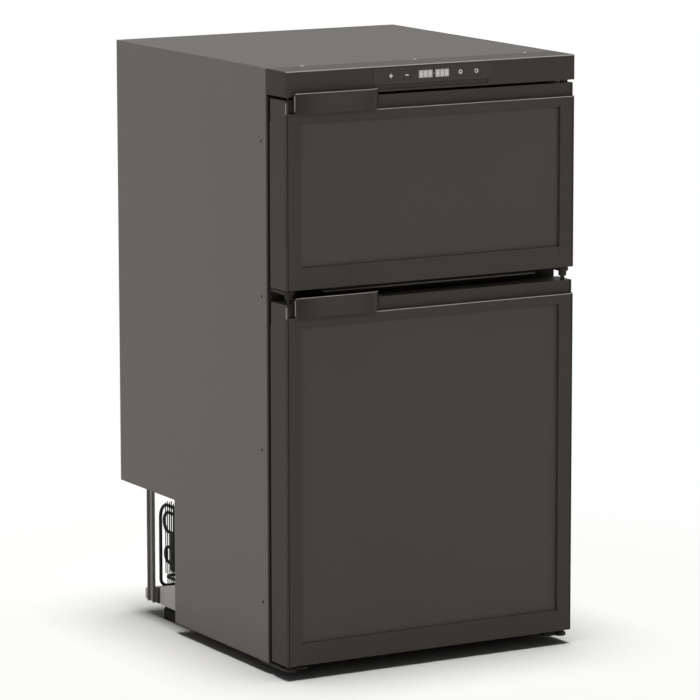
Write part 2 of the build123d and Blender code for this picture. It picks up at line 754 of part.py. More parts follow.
def fittings(bottom, top):
    """End caps, the top hinge bush and the bottom plugs that carry the hinge pin on either side.

    The cap at the latch side closes the channel; the one at the hinge side is set back with it.
    """
    latch_cap = end_cap(top, door_front, corner_radius)
    hinge_cap = mirrored(end_cap(top, channel_face, channel_edge))
    bush = post(hinge_x, hinge_y, (top - bush_length, top), bush_radius)
    bush -= post(hinge_x, hinge_y, (top - bush_length - 1, top + 1), pin_radius + pin_clearance)
    plug = slab(chamber_x, chamber_y, (bottom, bottom + bush_length))
    plug -= post(-hinge_x, hinge_y, (bottom - 1, bottom + bush_length + 1), pin_radius + pin_clearance)
    return [latch_cap, hinge_cap, bush, plug, mirrored(plug)]


def door_core(bottom, rail_bottom):
    """Foam behind the panel and the profiles."""
    core = slab((-half + skin, half - skin), (profile_back, core_back), (bottom + skin, rail_bottom))
    return core + slab((-inner, inner), (panel_back, profile_back), (bottom + rail_height, rail_bottom))


dam_inset, dam_width, dam_depth = 12.0, 14.0, 12.0
dam_corner, dish_radius = 10.0, 6.0


def door_liner(bottom, top, floor, roof):
    """The inner skin with a raised dam that stands into the mouth of the cabinet."""
    reach = half - liner_margin
    plate = slab((-reach, reach), (core_back, door_back), (bottom + liner_margin, top - liner_margin))
    plate = fillet(plate.edges().filter_by(Axis.Y), liner_corner)
    dam_half = mouth_half - dam_inset
    dam_y = (door_back - door_liner_skin / 2, front + dam_depth)
    dam = slab((-dam_half, dam_half), dam_y, (floor + dam_inset, roof - dam_inset))
    dam = fillet(dam.edges().filter_by(Axis.Y), dam_corner)
    dish_half = dam_half - dam_width
    dish = slab(
        (-dish_half, dish_half),
        (door_back, front + dam_depth + 1),
        (floor + dam_inset + dam_width, roof - dam_inset - dam_width),
    )
    return plate + (dam - fillet(dish.edges().filter_by(Axis.Y), dish_radius))


def gasket(bottom, top):
    """A soft magnetic seal round the mouth, rounded where it meets the frame."""
    reach = half - gasket_inset
    span = (door_back, frame_front - seal_clearance)
    ring = slab((-reach, reach), span, (bottom + gasket_end_inset, top - gasket_end_inset))
    ring = fillet(ring.edges().filter_by(Axis.Y), gasket_corner)
    hole = slab(
        (-reach + gasket_width, reach - gasket_width),
        (span[0] - 1, span[1] + 1),
        (bottom + gasket_end_inset + gasket_width, top - gasket_end_inset - gasket_width),
    )
    return ring - hole


def handle(top):
    """The paddle, curved back at its pivot end, with its barrel and the cam rib that works the bolt."""
    ledge_z = top - channel_height
    z = (ledge_z + handle_floor_gap, top + handle_rise)
    outside = door_front - handle_proud
    bend_x = handle_end - handle_bend
    radius = (handle_bend ** 2 + handle_bend_depth ** 2) / (2 * handle_bend_depth)
    turn = math.asin(handle_bend / radius)
    centre_y = outside + radius

    def on_arc(angle, r):
        return (bend_x + r * math.sin(angle), centre_y - r * math.cos(angle), z[0])

    thin = radius - handle_thickness
    outline = [
        Line((handle_x, outside, z[0]), (bend_x, outside, z[0])),
        ThreePointArc(on_arc(0, radius), on_arc(turn / 2, radius), on_arc(turn, radius)),
        Line(on_arc(turn, radius), on_arc(turn, thin)),
        ThreePointArc(on_arc(turn, thin), on_arc(turn / 2, thin), on_arc(0, thin)),
        Line(on_arc(0, thin), (handle_x, outside + handle_thickness, z[0])),
        Line((handle_x, outside + handle_thickness, z[0]), (handle_x, outside, z[0])),
    ]
    paddle = extrude(make_face(Curve() + outline), amount=z[1] - z[0], dir=(0, 0, 1))
    free_corners = [e for e in paddle.edges().filter_by(Axis.Y) if e.center().X < handle_x + 1]
    paddle = fillet(free_corners, handle_corner)
    notch_y = (door_front - notch_depth, hinge_y)
    paddle -= slab((bend_x - pivot_inset, handle_end + 1), notch_y, (top + notch_rise, z[1] + 1))
    barrel = (ledge_z + cam_clearance, top - lug_thickness - cam_clearance)
    paddle += post(pivot_x, pivot_y, barrel, pivot_radius)
    web_z = (barrel[0] + web_margin, barrel[1] - web_margin)
    paddle += slab((pivot_x - web_half, pivot_x + web_half), (outside + web_setback, pivot_y), web_z)
    paddle += post(pivot_x, pivot_y, (ledge_z - trunnion_reach, top - thrust_clearance), trunnion_radius)
    rib_top = top - pocket_wall - cam_roof_gap
    rib_low = rib_top - cam_thin
    rib = [
        (outside + cam_root, rib_low),
        (hinge_y, rib_low),
        (cam_rear, rib_low - cam_slope * (cam_rear - hinge_y)),
        (cam_rear, rib_top),
        (outside + cam_root, rib_top),
    ]
    return paddle + side_view(rib, cam_x)


def latch_bolt(top, nose):
    """A round bolt with a side shoulder that the cam rib presses down."""
    shoulder = block_top(top)
    stem = post(latch_x, latch_y, (shoulder - block_height - guide_length, nose), bolt_radius)
    stem = fillet(stem.edges().group_by(Axis.Z)[-1], bolt_nose)
    block_x = (latch_x - block_side[0], cam_x[1] + block_side[1])
    block_z = (shoulder - block_height, shoulder)
    return stem + slab(block_x, (hinge_y - block_depth, hinge_y), block_z)


def make_door(name, bottom, top, floor, roof, catch):
    rail_bottom = top - channel_height - rail_face
    left = stile(bottom, rail_bottom)
    save(f"{name}_stiles", left, mirrored(left))
    save(f"{name}_top_rail", top_rail(top))
    save(f"{name}_bottom_rail", bottom_rail(bottom))
    panel = slab(
        (-inner - panel_grip, inner + panel_grip),
        (panel_front, panel_back),
        (bottom + rail_height - panel_grip, rail_bottom + panel_grip),
    )
    save(f"{name}_panel", panel)
    save(f"{name}_core", door_core(bottom, rail_bottom))
    save(f"{name}_liner", door_liner(bottom, top, floor, roof))
    save(f"{name}_gasket", gasket(bottom, top))
    save(f"{name}_fittings", *fittings(bottom, top))
    save(f"{name}_handle", handle(top))
    save(f"{name}_latch_bolt", latch_bolt(top, catch - catch_clearance))


make_door("upper_door", upper_bottom, upper_top, freezer_floor, freezer_roof, fascia_bottom)
make_door("lower_door", lower_bottom, lower_top, fridge_floor, fridge_roof, boss_bottom)


# Bottle racks between the dams of the lower door
def bottle_rack(z):
    rack_half = mouth_half - dam_inset - dam_width - seal_clearance
    outer = slab((-rack_half, rack_half), (door_back, door_back + rack_depth), (z, z + rack_height))
    outer = fillet(outer.edges().filter_by(Axis.Z).group_by(Axis.Y)[-1], rack_corner)
    pocket = slab(
        (-rack_half + rack_wall, rack_half - rack_wall),
        (door_back + rack_wall, door_back + rack_depth - rack_wall),
        (z + rack_wall, z + rack_height + 1),
    )
    pocket_edges = pocket.edges().filter_by(Axis.Z).group_by(Axis.Y)[-1]
    return outer - fillet(pocket_edges, rack_corner - rack_wall)


rack_floor = fridge_floor + dam_inset + dam_width + dish_radius
save("door_racks", bottle_rack(rack_floor), bottle_rack(rack_floor + rack_pitch))


# Inside: evaporators, shelves, crisper and lamp
def freezer_evaporator():
    """A sheet folded round the freezer's floor, back and roof."""
    y0, y1 = front + evaporator_front, cavity_back - liner_radius
    t = evaporator_sheet
    profile = [
        (y0, freezer_floor),
        (y1, freezer_floor),
        (y1, freezer_roof),
        (y0, freezer_roof),
        (y0, freezer_roof - t),
        (y1 - t, freezer_roof - t),
        (y1 - t, freezer_floor + t),
        (y0, freezer_floor + t),
    ]
    reach = mouth_half - liner_radius - evaporator_side_gap
    return side_view(profile, (-reach, reach))


save("freezer_evaporator", freezer_evaporator())

cold_plate = slab(
    (-mouth_half + cold_plate_side, mouth_half - cold_plate_side),
    (cavity_back - evaporator_sheet, cavity_back),
    (step_top + cold_plate_low, fridge_roof - cold_plate_high),
)
save("fridge_evaporator", fillet(cold_plate.edges().filter_by(Axis.Y), cold_plate_corner))


def wire_shelf(z):
    """A welded wire shelf that lies on the ledges."""
    y0, y1 = front + crisper_front + shelf_setback, cavity_back - shelf_back_gap
    reach = mouth_half - shelf_play
    middle = z + shelf_rim
    ends = (-reach - shelf_rim, reach + shelf_rim)
    shelf = bar_x(ends, y0, middle, shelf_rim) + bar_x(ends, y1, middle, shelf_rim)
    for x in (-reach, reach):
        shelf += bar_y(x, (y0, y1), middle, shelf_side)
    gap = 2 * reach / (shelf_wires + 1)
    for i in range(shelf_wires):
        shelf += bar_y(-reach + (i + 1) * gap, (y0, y1), middle, shelf_wire)
    return shelf


save("wire_shelves", *[wire_shelf(z) for z in shelf_heights])

cover_reach = mouth_half - cover_fit
cover_y = (front + crisper_front - ledge_lead / 2, low_cavity_back - cover_fit)
save("crisper_cover", slab((-cover_reach, cover_reach), cover_y, (cover_height, cover_height + cover_glass)))


def crisper_box():
    reach = mouth_half - liner_radius
    y = (front + crisper_front, low_cavity_back - crisper_back_gap)
    box = slab((-reach, reach), y, (fridge_floor, fridge_floor + crisper_height))
    box = fillet(box.edges().filter_by(Axis.Z), crisper_corner)
    hollow = slab(
        (-reach + crisper_wall, reach - crisper_wall),
        (y[0] + crisper_wall, y[1] - crisper_wall),
        (fridge_floor + crisper_wall, fridge_floor + crisper_height + 1),
    )
    return box - fillet(hollow.edges().filter_by(Axis.Z), crisper_corner - crisper_wall)


save("crisper_box", crisper_box())

lamp_y = (front + lamp_setback, front + lamp_setback + lamp_depth)
lamp = slab((-lamp_width / 2, lamp_width / 2), lamp_y, (fridge_roof - lamp_height, fridge_roof))
save("lamp", fillet(lamp.edges().group_by(Axis.Z)[0], lamp_edge))


# Compressor bay
tray_half = half - tray_inset
tray_back = back - tray_back_gap
tray_top = tray_floor + tray_sheet


def tray():
    """A folded tray whose side walls step down at the back and rise toward the cabinet."""
    body = slab((-tray_half, tray_half), (bay_front, tray_back), (tray_floor, tray_top))
    low_z = (tray_floor, tray_floor + tray_low_height)
    body += slab((-tray_half, tray_half), (tray_back - tray_sheet, tray_back), low_z)
    side = [
        (bay_front, tray_floor),
        (tray_back, tray_floor),
        (tray_back, tray_floor + tray_low_height),
        (tray_back - tray_step, tray_floor + tray_low_height),
        (tray_back - tray_step, tray_floor + tray_step_height),
        (bay_front, tray_floor + tray_front_height),
    ]
    wall = side_view(side, (-tray_half, -tray_half + tray_sheet))
    return body + wall + mirrored(wall)


save("compressor_tray", tray())

# Posts outside the tray's walls, open outward, each with a clip in front of its foot
post_x = -tray_half - post_width
post_y = tray_back - post_setback - post_depth
channel = slab((post_x, -tray_half), (post_y, post_y + post_depth), (tray_floor, bay_ceiling))
channel_y = (post_y + post_sheet, post_y + post_depth - post_sheet)
channel -= slab((post_x - 1, -tray_half - post_sheet), channel_y, (0, height))
save("tray_posts", channel, mirrored(channel))

clip_x = (-tray_half - clip_thickness, -tray_half)
clip_z = (tray_floor + tray_sheet, tray_floor + tray_sheet + clip_height)
clip = slab(clip_x, (post_y - clip_length, post_y), clip_z)
save("tray_clips", clip, mirrored(clip))

# Compressor: a domed pot with a weld flange on a base plate, on four rubber mounts
pot_x, pot_setback = 22.0, 70.0
pot_y = bay_front + pot_setback
plate_bottom = tray_top + mount_height
plate_top = plate_bottom + plate_sheet
pot_top = plate_top + pot_height
suction_offset = (26.0, -18.0)        # from the pot's axis
suction_x, suction_y = pot_x + suction_offset[0], pot_y + suction_offset[1]
run_height, discharge_rise = 8.0, 40.0
run_z = tray_top + run_height         # low run of the discharge line
discharge_z = run_z + discharge_rise


def compressor():
    """A domed pot with a weld flange and two ports, on a base plate."""
    pot = post(pot_x, pot_y, (plate_top, pot_top), compressor_radius)
    body = fillet(pot.edges().group_by(Axis.Z)[-1], pot_shoulder)
    flange_z = [plate_top + rise for rise in pot_flange]
    body += post(pot_x, pot_y, flange_z, compressor_radius + pot_flange_width)
    body += post(suction_x, suction_y, (pot_top - pot_shoulder / 2, pot_top + port_height), suction_port)
    body += bar_x((pot_x - compressor_radius - port_height, pot_x), pot_y, discharge_z, discharge_port)
    base_plate = slab(
        (pot_x - plate_spread[0], pot_x + plate_spread[0]),
        (pot_y - plate_spread[1], pot_y + plate_spread[1]),
        (plate_bottom, plate_top),
    )
    return body + fillet(base_plate.edges().filter_by(Axis.Z), plate_corner_radius)


mounts = []
for side_x in (-1, 1):
    for side_y in (-1, 1):
        x, y = pot_x + side_x * mount_spread[0], pot_y + side_y * mount_spread[1]
        mounts.append(post(x, y, (tray_top, plate_bottom), mount_radius))
save("compressor", compressor())
save("compressor_mounts", *mounts)


def inverter_unit():
    """The control box of the compressor: a finned heat sink and a terminal strip."""
    x0 = pot_x + compressor_radius + inverter_gap
    x1 = x0 + inverter_width
    y0 = bay_front + inverter_setback
    y1 = y0 + inverter_length
    top = tray_top + inverter_height
    unit = slab((x0, x1), (y0, y1), (tray_top, top))
    unit = fillet(unit.edges().filter_by(Axis.Z), inverter_corner)
    for i in range(fin_count):
        y = y0 + fin_pitch + i * fin_pitch
        fin_z = (tray_top + fin_margin, top - fin_margin)
        unit += slab((x1 - fin_half, x1 + fin_depth), (y - fin_half, y + fin_half), fin_z)
    strip_z = (top - strip_drop - strip_height, top - strip_drop)
    strip = slab((x0 + strip_inset, x1 - strip_inset), (y1 - 1, y1 + strip_depth), strip_z)
    for i in range(pole_count):
        x = (x0 + x1) / 2 + (i - (pole_count - 1) / 2) * pole_pitch
        strip -= bar_y(x, (y1 + strip_depth / 2, y1 + strip_depth + 1), sum(strip_z) / 2, pole_radius)
    return unit + strip


save("inverter_unit", inverter_unit())

# Condenser: one tube bent to and fro in two layers, with stiff wires welded across it
tube_radius = 2.4
wire_radius = 0.8
row_top = 165.0
row_drops = (10.0, 28.0, 22.0, 22.0, 22.0)
layer_inset, layer_gap = 8.0, 22.0
layer_x = (-tray_half + layer_inset, -tray_half + layer_inset + layer_gap)
coil_setback, coil_length = 22.0, 58.5
coil_y = (bay_front + coil_setback, bay_front + coil_setback + coil_length)
wire_pitch = 6.0
wire_ends = (10.0, 8.0)    # wires past the straight passes, toward the front and the back
wire_tips = (4.0, 7.0)     # every other wire stands higher above the top pass
wire_tail = 6.0            # below the lowest pass
wire_touch = 0.05


def condenser_path():
    """Straight passes joined by half turns, down the outer layer and up the inner one."""
    edges = []
    heading = -1
    for layer, x in enumerate(layer_x):
        rows = [row_top - sum(row_drops[:i]) for i in range(len(row_drops) + 1)]
        if layer:
            rows.reverse()
        for i, z in enumerate(rows):
            y_from, y_to = (coil_y[1], coil_y[0]) if heading < 0 else (coil_y[0], coil_y[1])
            edges.append(Line((x, y_from, z), (x, y_to, z)))
            if i < len(rows) - 1:
                z_next = rows[i + 1]
                bend = abs(z - z_next) / 2
                peak = (x, y_to + heading * bend, (z + z_next) / 2)
                edges.append(ThreePointArc((x, y_to, z), peak, (x, y_to, z_next)))
                heading = -heading
        if layer == 0:
            across = layer_gap / 2
            peak = (x + across, y_to + heading * across, z)
            edges.append(ThreePointArc((x, y_to, z), peak, (layer_x[1], y_to, z)))
            heading = -heading
    return Wire(edges)


coil_path = condenser_path()
coil_start = coil_path.position_at(0)
section = Plane(origin=coil_start, z_dir=coil_path.tangent_at(0)) * Circle(tube_radius)
save("condenser_coil", sweep(section, path=coil_path))

wires = []
wire_reach = tube_radius + wire_radius + wire_touch
wire_first = coil_y[0] - wire_ends[0]
wire_count = int((coil_y[1] + wire_ends[1] - wire_first) / wire_pitch) + 1
row_bottom = row_top - sum(row_drops)
for i in range(wire_count):
    y = wire_first + i * wire_pitch
    foot = tray_top if i in (0, wire_count - 2) else row_bottom - wire_tail
    if y > coil_y[1]:
        foot = row_bottom + wire_tail   # clear of the turn from one layer to the other
    tip = row_top + wire_tips[i % 2]
    for x in layer_x:
        for side in (-1, 1):
            wires.append(post(x + side * wire_reach, y, (foot, tip), wire_radius))
save("condenser_wires", *wires)


def tube(points, radii, radius):
    """A bent tube through corner points."""
    path = FilletPolyline(*points, radius=radii)
    return sweep(Plane(origin=path @ 0, z_dir=path % 0) * Circle(radius), path=path)


riser_setback = 25.5       # straight passes to the riser
riser_y = coil_y[1] + riser_setback
run_inset, run_start, run_end, run_rise = 14.0, 40.0, 38.0, 14.0
run_y = tray_back - run_inset
run_x = layer_x[0] + run_start, pot_x - compressor_radius - run_end
discharge = tube(
    [
        (layer_x[0], coil_y[1], row_top),
        (layer_x[0], riser_y, row_top),
        (layer_x[0], riser_y, run_z + run_rise),
        (run_x[0], riser_y, run_z + run_rise),
        (run_x[0], run_y, run_z),
        (run_x[1], run_y, run_z),
        (run_x[1], pot_y, discharge_z),
        (pot_x - compressor_radius - port_height, pot_y, discharge_z),
    ],
    [22.0, 10.0, 8.0, 8.0, 12.0, 8.0],
    tube_radius,
)
drier_radius, drier_end, drier_lead = 8.0, 4.0, 4.0
drier_x, drier_y = layer_x[1], riser_y - drier_lead
drier_z = (62.0, 120.0)
liquid = tube(
    [(layer_x[1], coil_y[1], row_top), (layer_x[1], drier_y, row_top), (layer_x[1], drier_y, drier_z[1])],
    [12.0],
    tube_radius,
)
drier = post(drier_x, drier_y, drier_z, drier_radius)
drier = fillet(drier.edges(), drier_end)
capillary_radius, suction_radius, capillary_rise = 1.2, 3.2, 6.0
capillary_z = run_z + capillary_rise
capillary = tube(
    [(drier_x, drier_y, drier_z[0]), (drier_x, drier_y, capillary_z), (drier_x, bay_front, capillary_z)],
    [8.0],
    capillary_radius,
)
suction = post(suction_x, suction_y, (pot_top + port_height, bay_ceiling), suction_radius)
save("refrigerant_tubes", discharge, liquid, drier, capillary, suction)

# Fan between the condenser and the compressor
fan_gap, fan_setback = 45.0, 66.0
fan_x = layer_x[1] + fan_gap
fan_y = bay_front + fan_setback
fan_half = 46.0
fan_z = tray_top + fan_half
frame_depth = 25.0
frame_corner = 5.0
hub_radius, hub_edge = 16.0, 2.0
shaft_radius = 1.5
blade_clearance = 2.0
spoke_half = 2.5
spoke_depth = (4.0, 1.0)   # spokes, ahead of the frame's rear face
motor_depth = 8.0
motor_skin = 2.0           # between the shaft's hole and the rear of the motor cup
rotor_ends = (3.0, 9.0)    # hub inside the frame's two faces
blade_ends = (1.0, 9.0)
shaft_ends = (10.0, 4.0)   # shaft, ahead of the frame's rear face
blade_count, blade_pitch = 7, 38.0
blade_thickness, blade_chord = 1.6, 24.0


def fan_frame():
    """A square frame with a round duct, a cross of spokes and a motor cup."""
    rear = fan_x + frame_depth
    box_y = (fan_y - fan_half, fan_y + fan_half)
    frame = slab((fan_x, rear), box_y, (fan_z - fan_half, fan_z + fan_half))
    frame = fillet(frame.edges().filter_by(Axis.X), frame_corner)
    through = (fan_x - 1, rear + 1)
    frame -= bar_x(through, fan_y, fan_z, fan_radius + blade_clearance)
    reach = fan_radius + blade_clearance + 1
    spoke_x = (rear - spoke_depth[0], rear - spoke_depth[1])
    frame += slab(spoke_x, (fan_y - reach, fan_y + reach), (fan_z - spoke_half, fan_z + spoke_half))
    frame += slab(spoke_x, (fan_y - spoke_half, fan_y + spoke_half), (fan_z - reach, fan_z + reach))
    frame += bar_x((rear - motor_depth, spoke_x[1]), fan_y, fan_z, hub_radius)
    frame -= bar_x((fan_x, spoke_x[1] - motor_skin), fan_y, fan_z, shaft_radius + pin_clearance)
    for side_y in (-1, 1):
        for side_z in (-1, 1):
            hole_y = fan_y + side_y * (fan_half - frame_corner)
            hole_z = fan_z + side_z * (fan_half - frame_corner)
            frame -= bar_x(through, hole_y, hole_z, fixing_hole_radius)
    return frame


def fan_rotor():
    """A hub with seven pitched blades and a short shaft."""
    rear = fan_x + frame_depth
    hub = bar_x((fan_x + rotor_ends[0], rear - rotor_ends[1]), fan_y, fan_z, hub_radius)
    rotor = fillet(hub.edges().group_by(Axis.X)[0], hub_edge)
    rotor += bar_x((rear - shaft_ends[0], rear - shaft_ends[1]), fan_y, fan_z, shaft_radius)
    ring = bar_x((fan_x + blade_ends[0], rear - blade_ends[1]), fan_y, fan_z, fan_radius)
    ring -= bar_x((fan_x, rear), fan_y, fan_z, hub_radius - 1)
    middle_x = fan_x + (frame_depth + blade_ends[0] - blade_ends[1]) / 2
    blade = Pos(0, 0, (fan_radius + hub_radius) / 2) * Rot(0, 0, blade_pitch)
    blade *= Box(blade_thickness, blade_chord, fan_radius)
    for i in range(blade_count):
        turned = Pos(middle_x, fan_y, fan_z) * Rot(i * 360 / blade_count, 0, 0) * blade
        rotor += turned & ring
    return rotor


save("fan_frame", fan_frame())
save("fan_rotor", fan_rotor())
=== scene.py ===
import bmesh
import bpy
import json
import math
from mathutils import Matrix, Vector


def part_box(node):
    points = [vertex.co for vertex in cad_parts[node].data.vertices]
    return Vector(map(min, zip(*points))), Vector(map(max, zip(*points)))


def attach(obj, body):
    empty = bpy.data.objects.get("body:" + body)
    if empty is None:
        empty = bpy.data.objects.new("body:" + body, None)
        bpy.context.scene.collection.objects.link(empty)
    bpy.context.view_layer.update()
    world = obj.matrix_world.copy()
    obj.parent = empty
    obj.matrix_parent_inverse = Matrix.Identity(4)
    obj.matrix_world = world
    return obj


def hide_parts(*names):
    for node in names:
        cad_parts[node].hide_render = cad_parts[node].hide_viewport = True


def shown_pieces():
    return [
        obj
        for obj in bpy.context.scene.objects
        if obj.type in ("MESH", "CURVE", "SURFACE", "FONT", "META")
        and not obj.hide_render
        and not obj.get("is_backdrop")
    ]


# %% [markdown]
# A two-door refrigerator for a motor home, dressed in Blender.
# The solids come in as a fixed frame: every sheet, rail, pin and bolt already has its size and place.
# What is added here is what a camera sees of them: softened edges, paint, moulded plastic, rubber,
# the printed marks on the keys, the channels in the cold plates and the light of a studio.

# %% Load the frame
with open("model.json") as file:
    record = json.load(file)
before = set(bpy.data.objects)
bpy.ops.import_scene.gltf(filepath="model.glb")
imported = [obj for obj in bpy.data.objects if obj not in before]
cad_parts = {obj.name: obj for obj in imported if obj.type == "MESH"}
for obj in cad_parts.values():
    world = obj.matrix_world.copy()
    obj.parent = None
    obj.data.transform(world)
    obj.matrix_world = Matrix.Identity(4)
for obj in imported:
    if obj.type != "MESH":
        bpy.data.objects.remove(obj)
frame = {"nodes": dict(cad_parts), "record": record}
nodes = frame["nodes"]
body_of_node = {n: body for body, names in frame["record"]["behaviour"]["bodies"].items() for n in names}
slot_of_node = {row["node"]: row["material_slot"] for row in frame["record"]["subparts"]}
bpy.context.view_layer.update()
mm = 0.001

# %% [markdown]
# The camera is where the photographer's was. Long vertical edges in the picture lean in very little,
# so it stood far off with a long lens: about six metres away and a little above the top panel.
# The place and angles below come from matching the cabinet's corners to the picture.

# %% Camera
camera_place = Vector((-2.9717, -5.2671, 1.4328))
camera_azimuth = math.radians(-29.513)
camera_elevation = math.radians(9.718)
camera_roll = math.radians(0.074)
camera_lens = 225.45
film_width = 36


def make_camera():
    level = math.cos(camera_elevation)
    back = Vector((
        math.sin(camera_azimuth) * level,
        -math.cos(camera_azimuth) * level,
        math.sin(camera_elevation),
    ))
    right = Vector((math.cos(camera_azimuth), math.sin(camera_azimuth), 0))
    up = back.cross(right)
    turn, hold = math.sin(camera_roll), math.cos(camera_roll)
    rolled_right = right * hold - up * turn
    rolled_up = right * turn + up * hold
    data = bpy.data.cameras.new("studio_camera")
    data.sensor_width = film_width
    data.lens = camera_lens
    data.clip_end = 100
    camera = bpy.data.objects.new("studio_camera", data)
    rotation = Matrix((rolled_right, rolled_up, back)).transposed()
    camera.matrix_world = Matrix.Translation(camera_place) @ rotation.to_4x4()
    bpy.context.scene.collection.objects.link(camera)
    bpy.context.scene.camera = camera


make_camera()
print("camera at", list(camera_place), "lens", camera_lens)

# %% [markdown]
# Node trees read best as plain arithmetic. Signal wraps the output of a node, so that writing
# mask * 0.2 + 0.4 adds the two Math nodes that it means, in a material and in a Geometry Nodes tree alike.
# Maker adds any other node in one call: its settings first, then the values or links of its sockets.
# Finish is a Maker that holds one material, around one Principled shader.

# %% Node arithmetic


class Signal:
    """The output of a node, with arithmetic."""

    def __init__(self, maker, socket):
        self.maker = maker
        self.socket = socket

    def _math(self, operation, first, second=0.0):
        return self.maker.node("ShaderNodeMath", {"operation": operation}, {0: first, 1: second})

    def __add__(self, other):
        return self._math("ADD", self, other)

    def __radd__(self, other):
        return self._math("ADD", other, self)

    def __sub__(self, other):
        return self._math("SUBTRACT", self, other)

    def __rsub__(self, other):
        return self._math("SUBTRACT", other, self)

    def __mul__(self, other):
        return self._math("MULTIPLY", self, other)

    def __rmul__(self, other):
        return self._math("MULTIPLY", other, self)

    def __mod__(self, other):
        return self._math("MODULO", self, other)

    def __abs__(self):
        return self._math("ABSOLUTE", self)

    def at_least(self, other):
        """The larger one of the two."""
        return self._math("MAXIMUM", self, other)

    def clip(self, low, high):
        """Where the signal climbs from low to high, a smooth step from 0 to 1."""
        return self.maker.node(
            "ShaderNodeMapRange",
            {"interpolation_type": "SMOOTHSTEP"},
            {"Value": self, "From Min": low, "From Max": high},
        )


class Maker:
    """Adds nodes to a tree."""

    def __init__(self, tree):
        self.tree = tree

    def node(self, kind, settings=None, sockets=None, out=0):
        made = self.tree.nodes.new(kind)
        for name, value in (settings or {}).items():
            setattr(made, name, value)
        for name, value in (sockets or {}).items():
            for one in value if isinstance(value, list) else [value]:
                self.feed(made.inputs[name], one)
        return Signal(self, made.outputs[out])

    def feed(self, socket, value):
        if isinstance(value, Signal):
            self.tree.links.new(value.socket, socket)
        else:
            socket.default_value = value


class Finish(Maker):
    """A material made of nodes around one Principled shader."""

    def __init__(self, name):
        self.material = bpy.data.materials.new(name)
        self.material.use_nodes = True
        super().__init__(self.material.node_tree)
        self.shader = self.tree.nodes["Principled BSDF"]
        self.place = self.node("ShaderNodeTexCoord", out="Object")

    def set(self, **values):
        """Values or signals for the shader's own sockets: base_color= goes to Base Color."""
        for name, value in values.items():
            words = name.replace("_", " ").title().replace("Ior", "IOR")
            self.feed(self.shader.inputs[words], value)

    def across(self):
        """The place along X, in metres."""
        return self.node("ShaderNodeSeparateXYZ", None, {0: self.place}, out="X")

    def noise(self, scale, detail=2.0, stretch=(1, 1, 1)):
        """Cloudy noise on the object's own coordinates, in features per metre."""
        place = self.node("ShaderNodeMapping", None, {"Vector": self.place, "Scale": stretch})
        return self.node("ShaderNodeTexNoise", None, {"Vector": place, "Scale": scale, "Detail": detail})

    def blend(self, share, first, second):
        """One colour at share 0 and the other at share 1. A Mix node takes its colours at sockets 6 and 7."""
        first, second = ((*tone, 1) if isinstance(tone, tuple) else tone for tone in (first, second))
        return self.node("ShaderNodeMix", {"data_type": "RGBA"}, {0: share, 6: first, 7: second}, out=2)

    def bump(self, height, depth, strength):
        """Raised grain of this depth in metres."""
        return self.node("ShaderNodeBump", None, {"Height": height, "Distance": depth, "Strength": strength})


# %% [markdown]
# Most of the appliance is one warm grey in several shades, and its black parts are a soft black that is
# never quite zero, which also serves as painted shade in a groove and under the paddles. Both have a name,
# and a finish makes its own lighter and darker tones from its colour.

# %% Colours
warm_grey = (0.114, 0.1005, 0.0835)
dark_grey = (0.05, 0.0435, 0.036)
soft_black = (0.012, 0.011, 0.01)


def shade(colour, factor):
    """The colour made darker or lighter by a factor."""
    return tuple(part * factor for part in colour)


print("warm grey", warm_grey)

# %% [markdown]
# Powder coat on folded steel: it is never quite flat. Seen close it has a fine orange peel,
# and over a whole panel its gloss drifts a little. Both are noise, at two very different scales.

# %% Painted steel
panel_drift, peel_pitch, peel_depth = 3.5, 900, 0.03 * mm  # two noise scales per metre, and a depth


def painted_steel(name, colour, roughness, gloss=0.2):
    finish = Finish(name)
    cloud = finish.noise(panel_drift, 3)
    peel = finish.noise(peel_pitch, 2)
    finish.set(
        base_color=finish.blend(cloud, shade(colour, 0.93), shade(colour, 1.07)),
        roughness=cloud * 0.08 + peel * 0.06 + (roughness - 0.07),
        normal=finish.bump(peel, peel_depth, 0.6),
        specular_ior_level=gloss,
    )
    return finish.material


finishes = {
    "side_steel": painted_steel("side_paint", warm_grey, 0.44),
    # The top panel's paint is darker than the sides': painted shade, as the overhead lamp lights the top most.
    "top_steel": painted_steel("top_paint", (0.085, 0.079, 0.073), 0.6, gloss=0.08),
    "insert_panel": painted_steel("insert_paint", (0.0595, 0.0525, 0.044), 0.44),
    "bracket_steel": painted_steel("bracket_black", (0.03, 0.0275, 0.024), 0.5, gloss=0.08),
    "tray_steel": painted_steel("tray_grey", (0.385, 0.37, 0.338), 0.45),
    "post_steel": painted_steel("post_paint", (0.26, 0.24, 0.21), 0.45),
    "compressor_black": painted_steel("compressor_black", soft_black, 0.34),
    "coil_steel": painted_steel("coil_black", soft_black, 0.36),
    "tube_steel": painted_steel("tube_black", soft_black, 0.34),
    # The base pan is near black: painted shade, as it lies in deep shadow under the body.
    "pan_paint": painted_steel("pan_black", (0.006, 0.0055, 0.005), 0.8, gloss=0.02),
}
print("painted finishes", len(finishes))
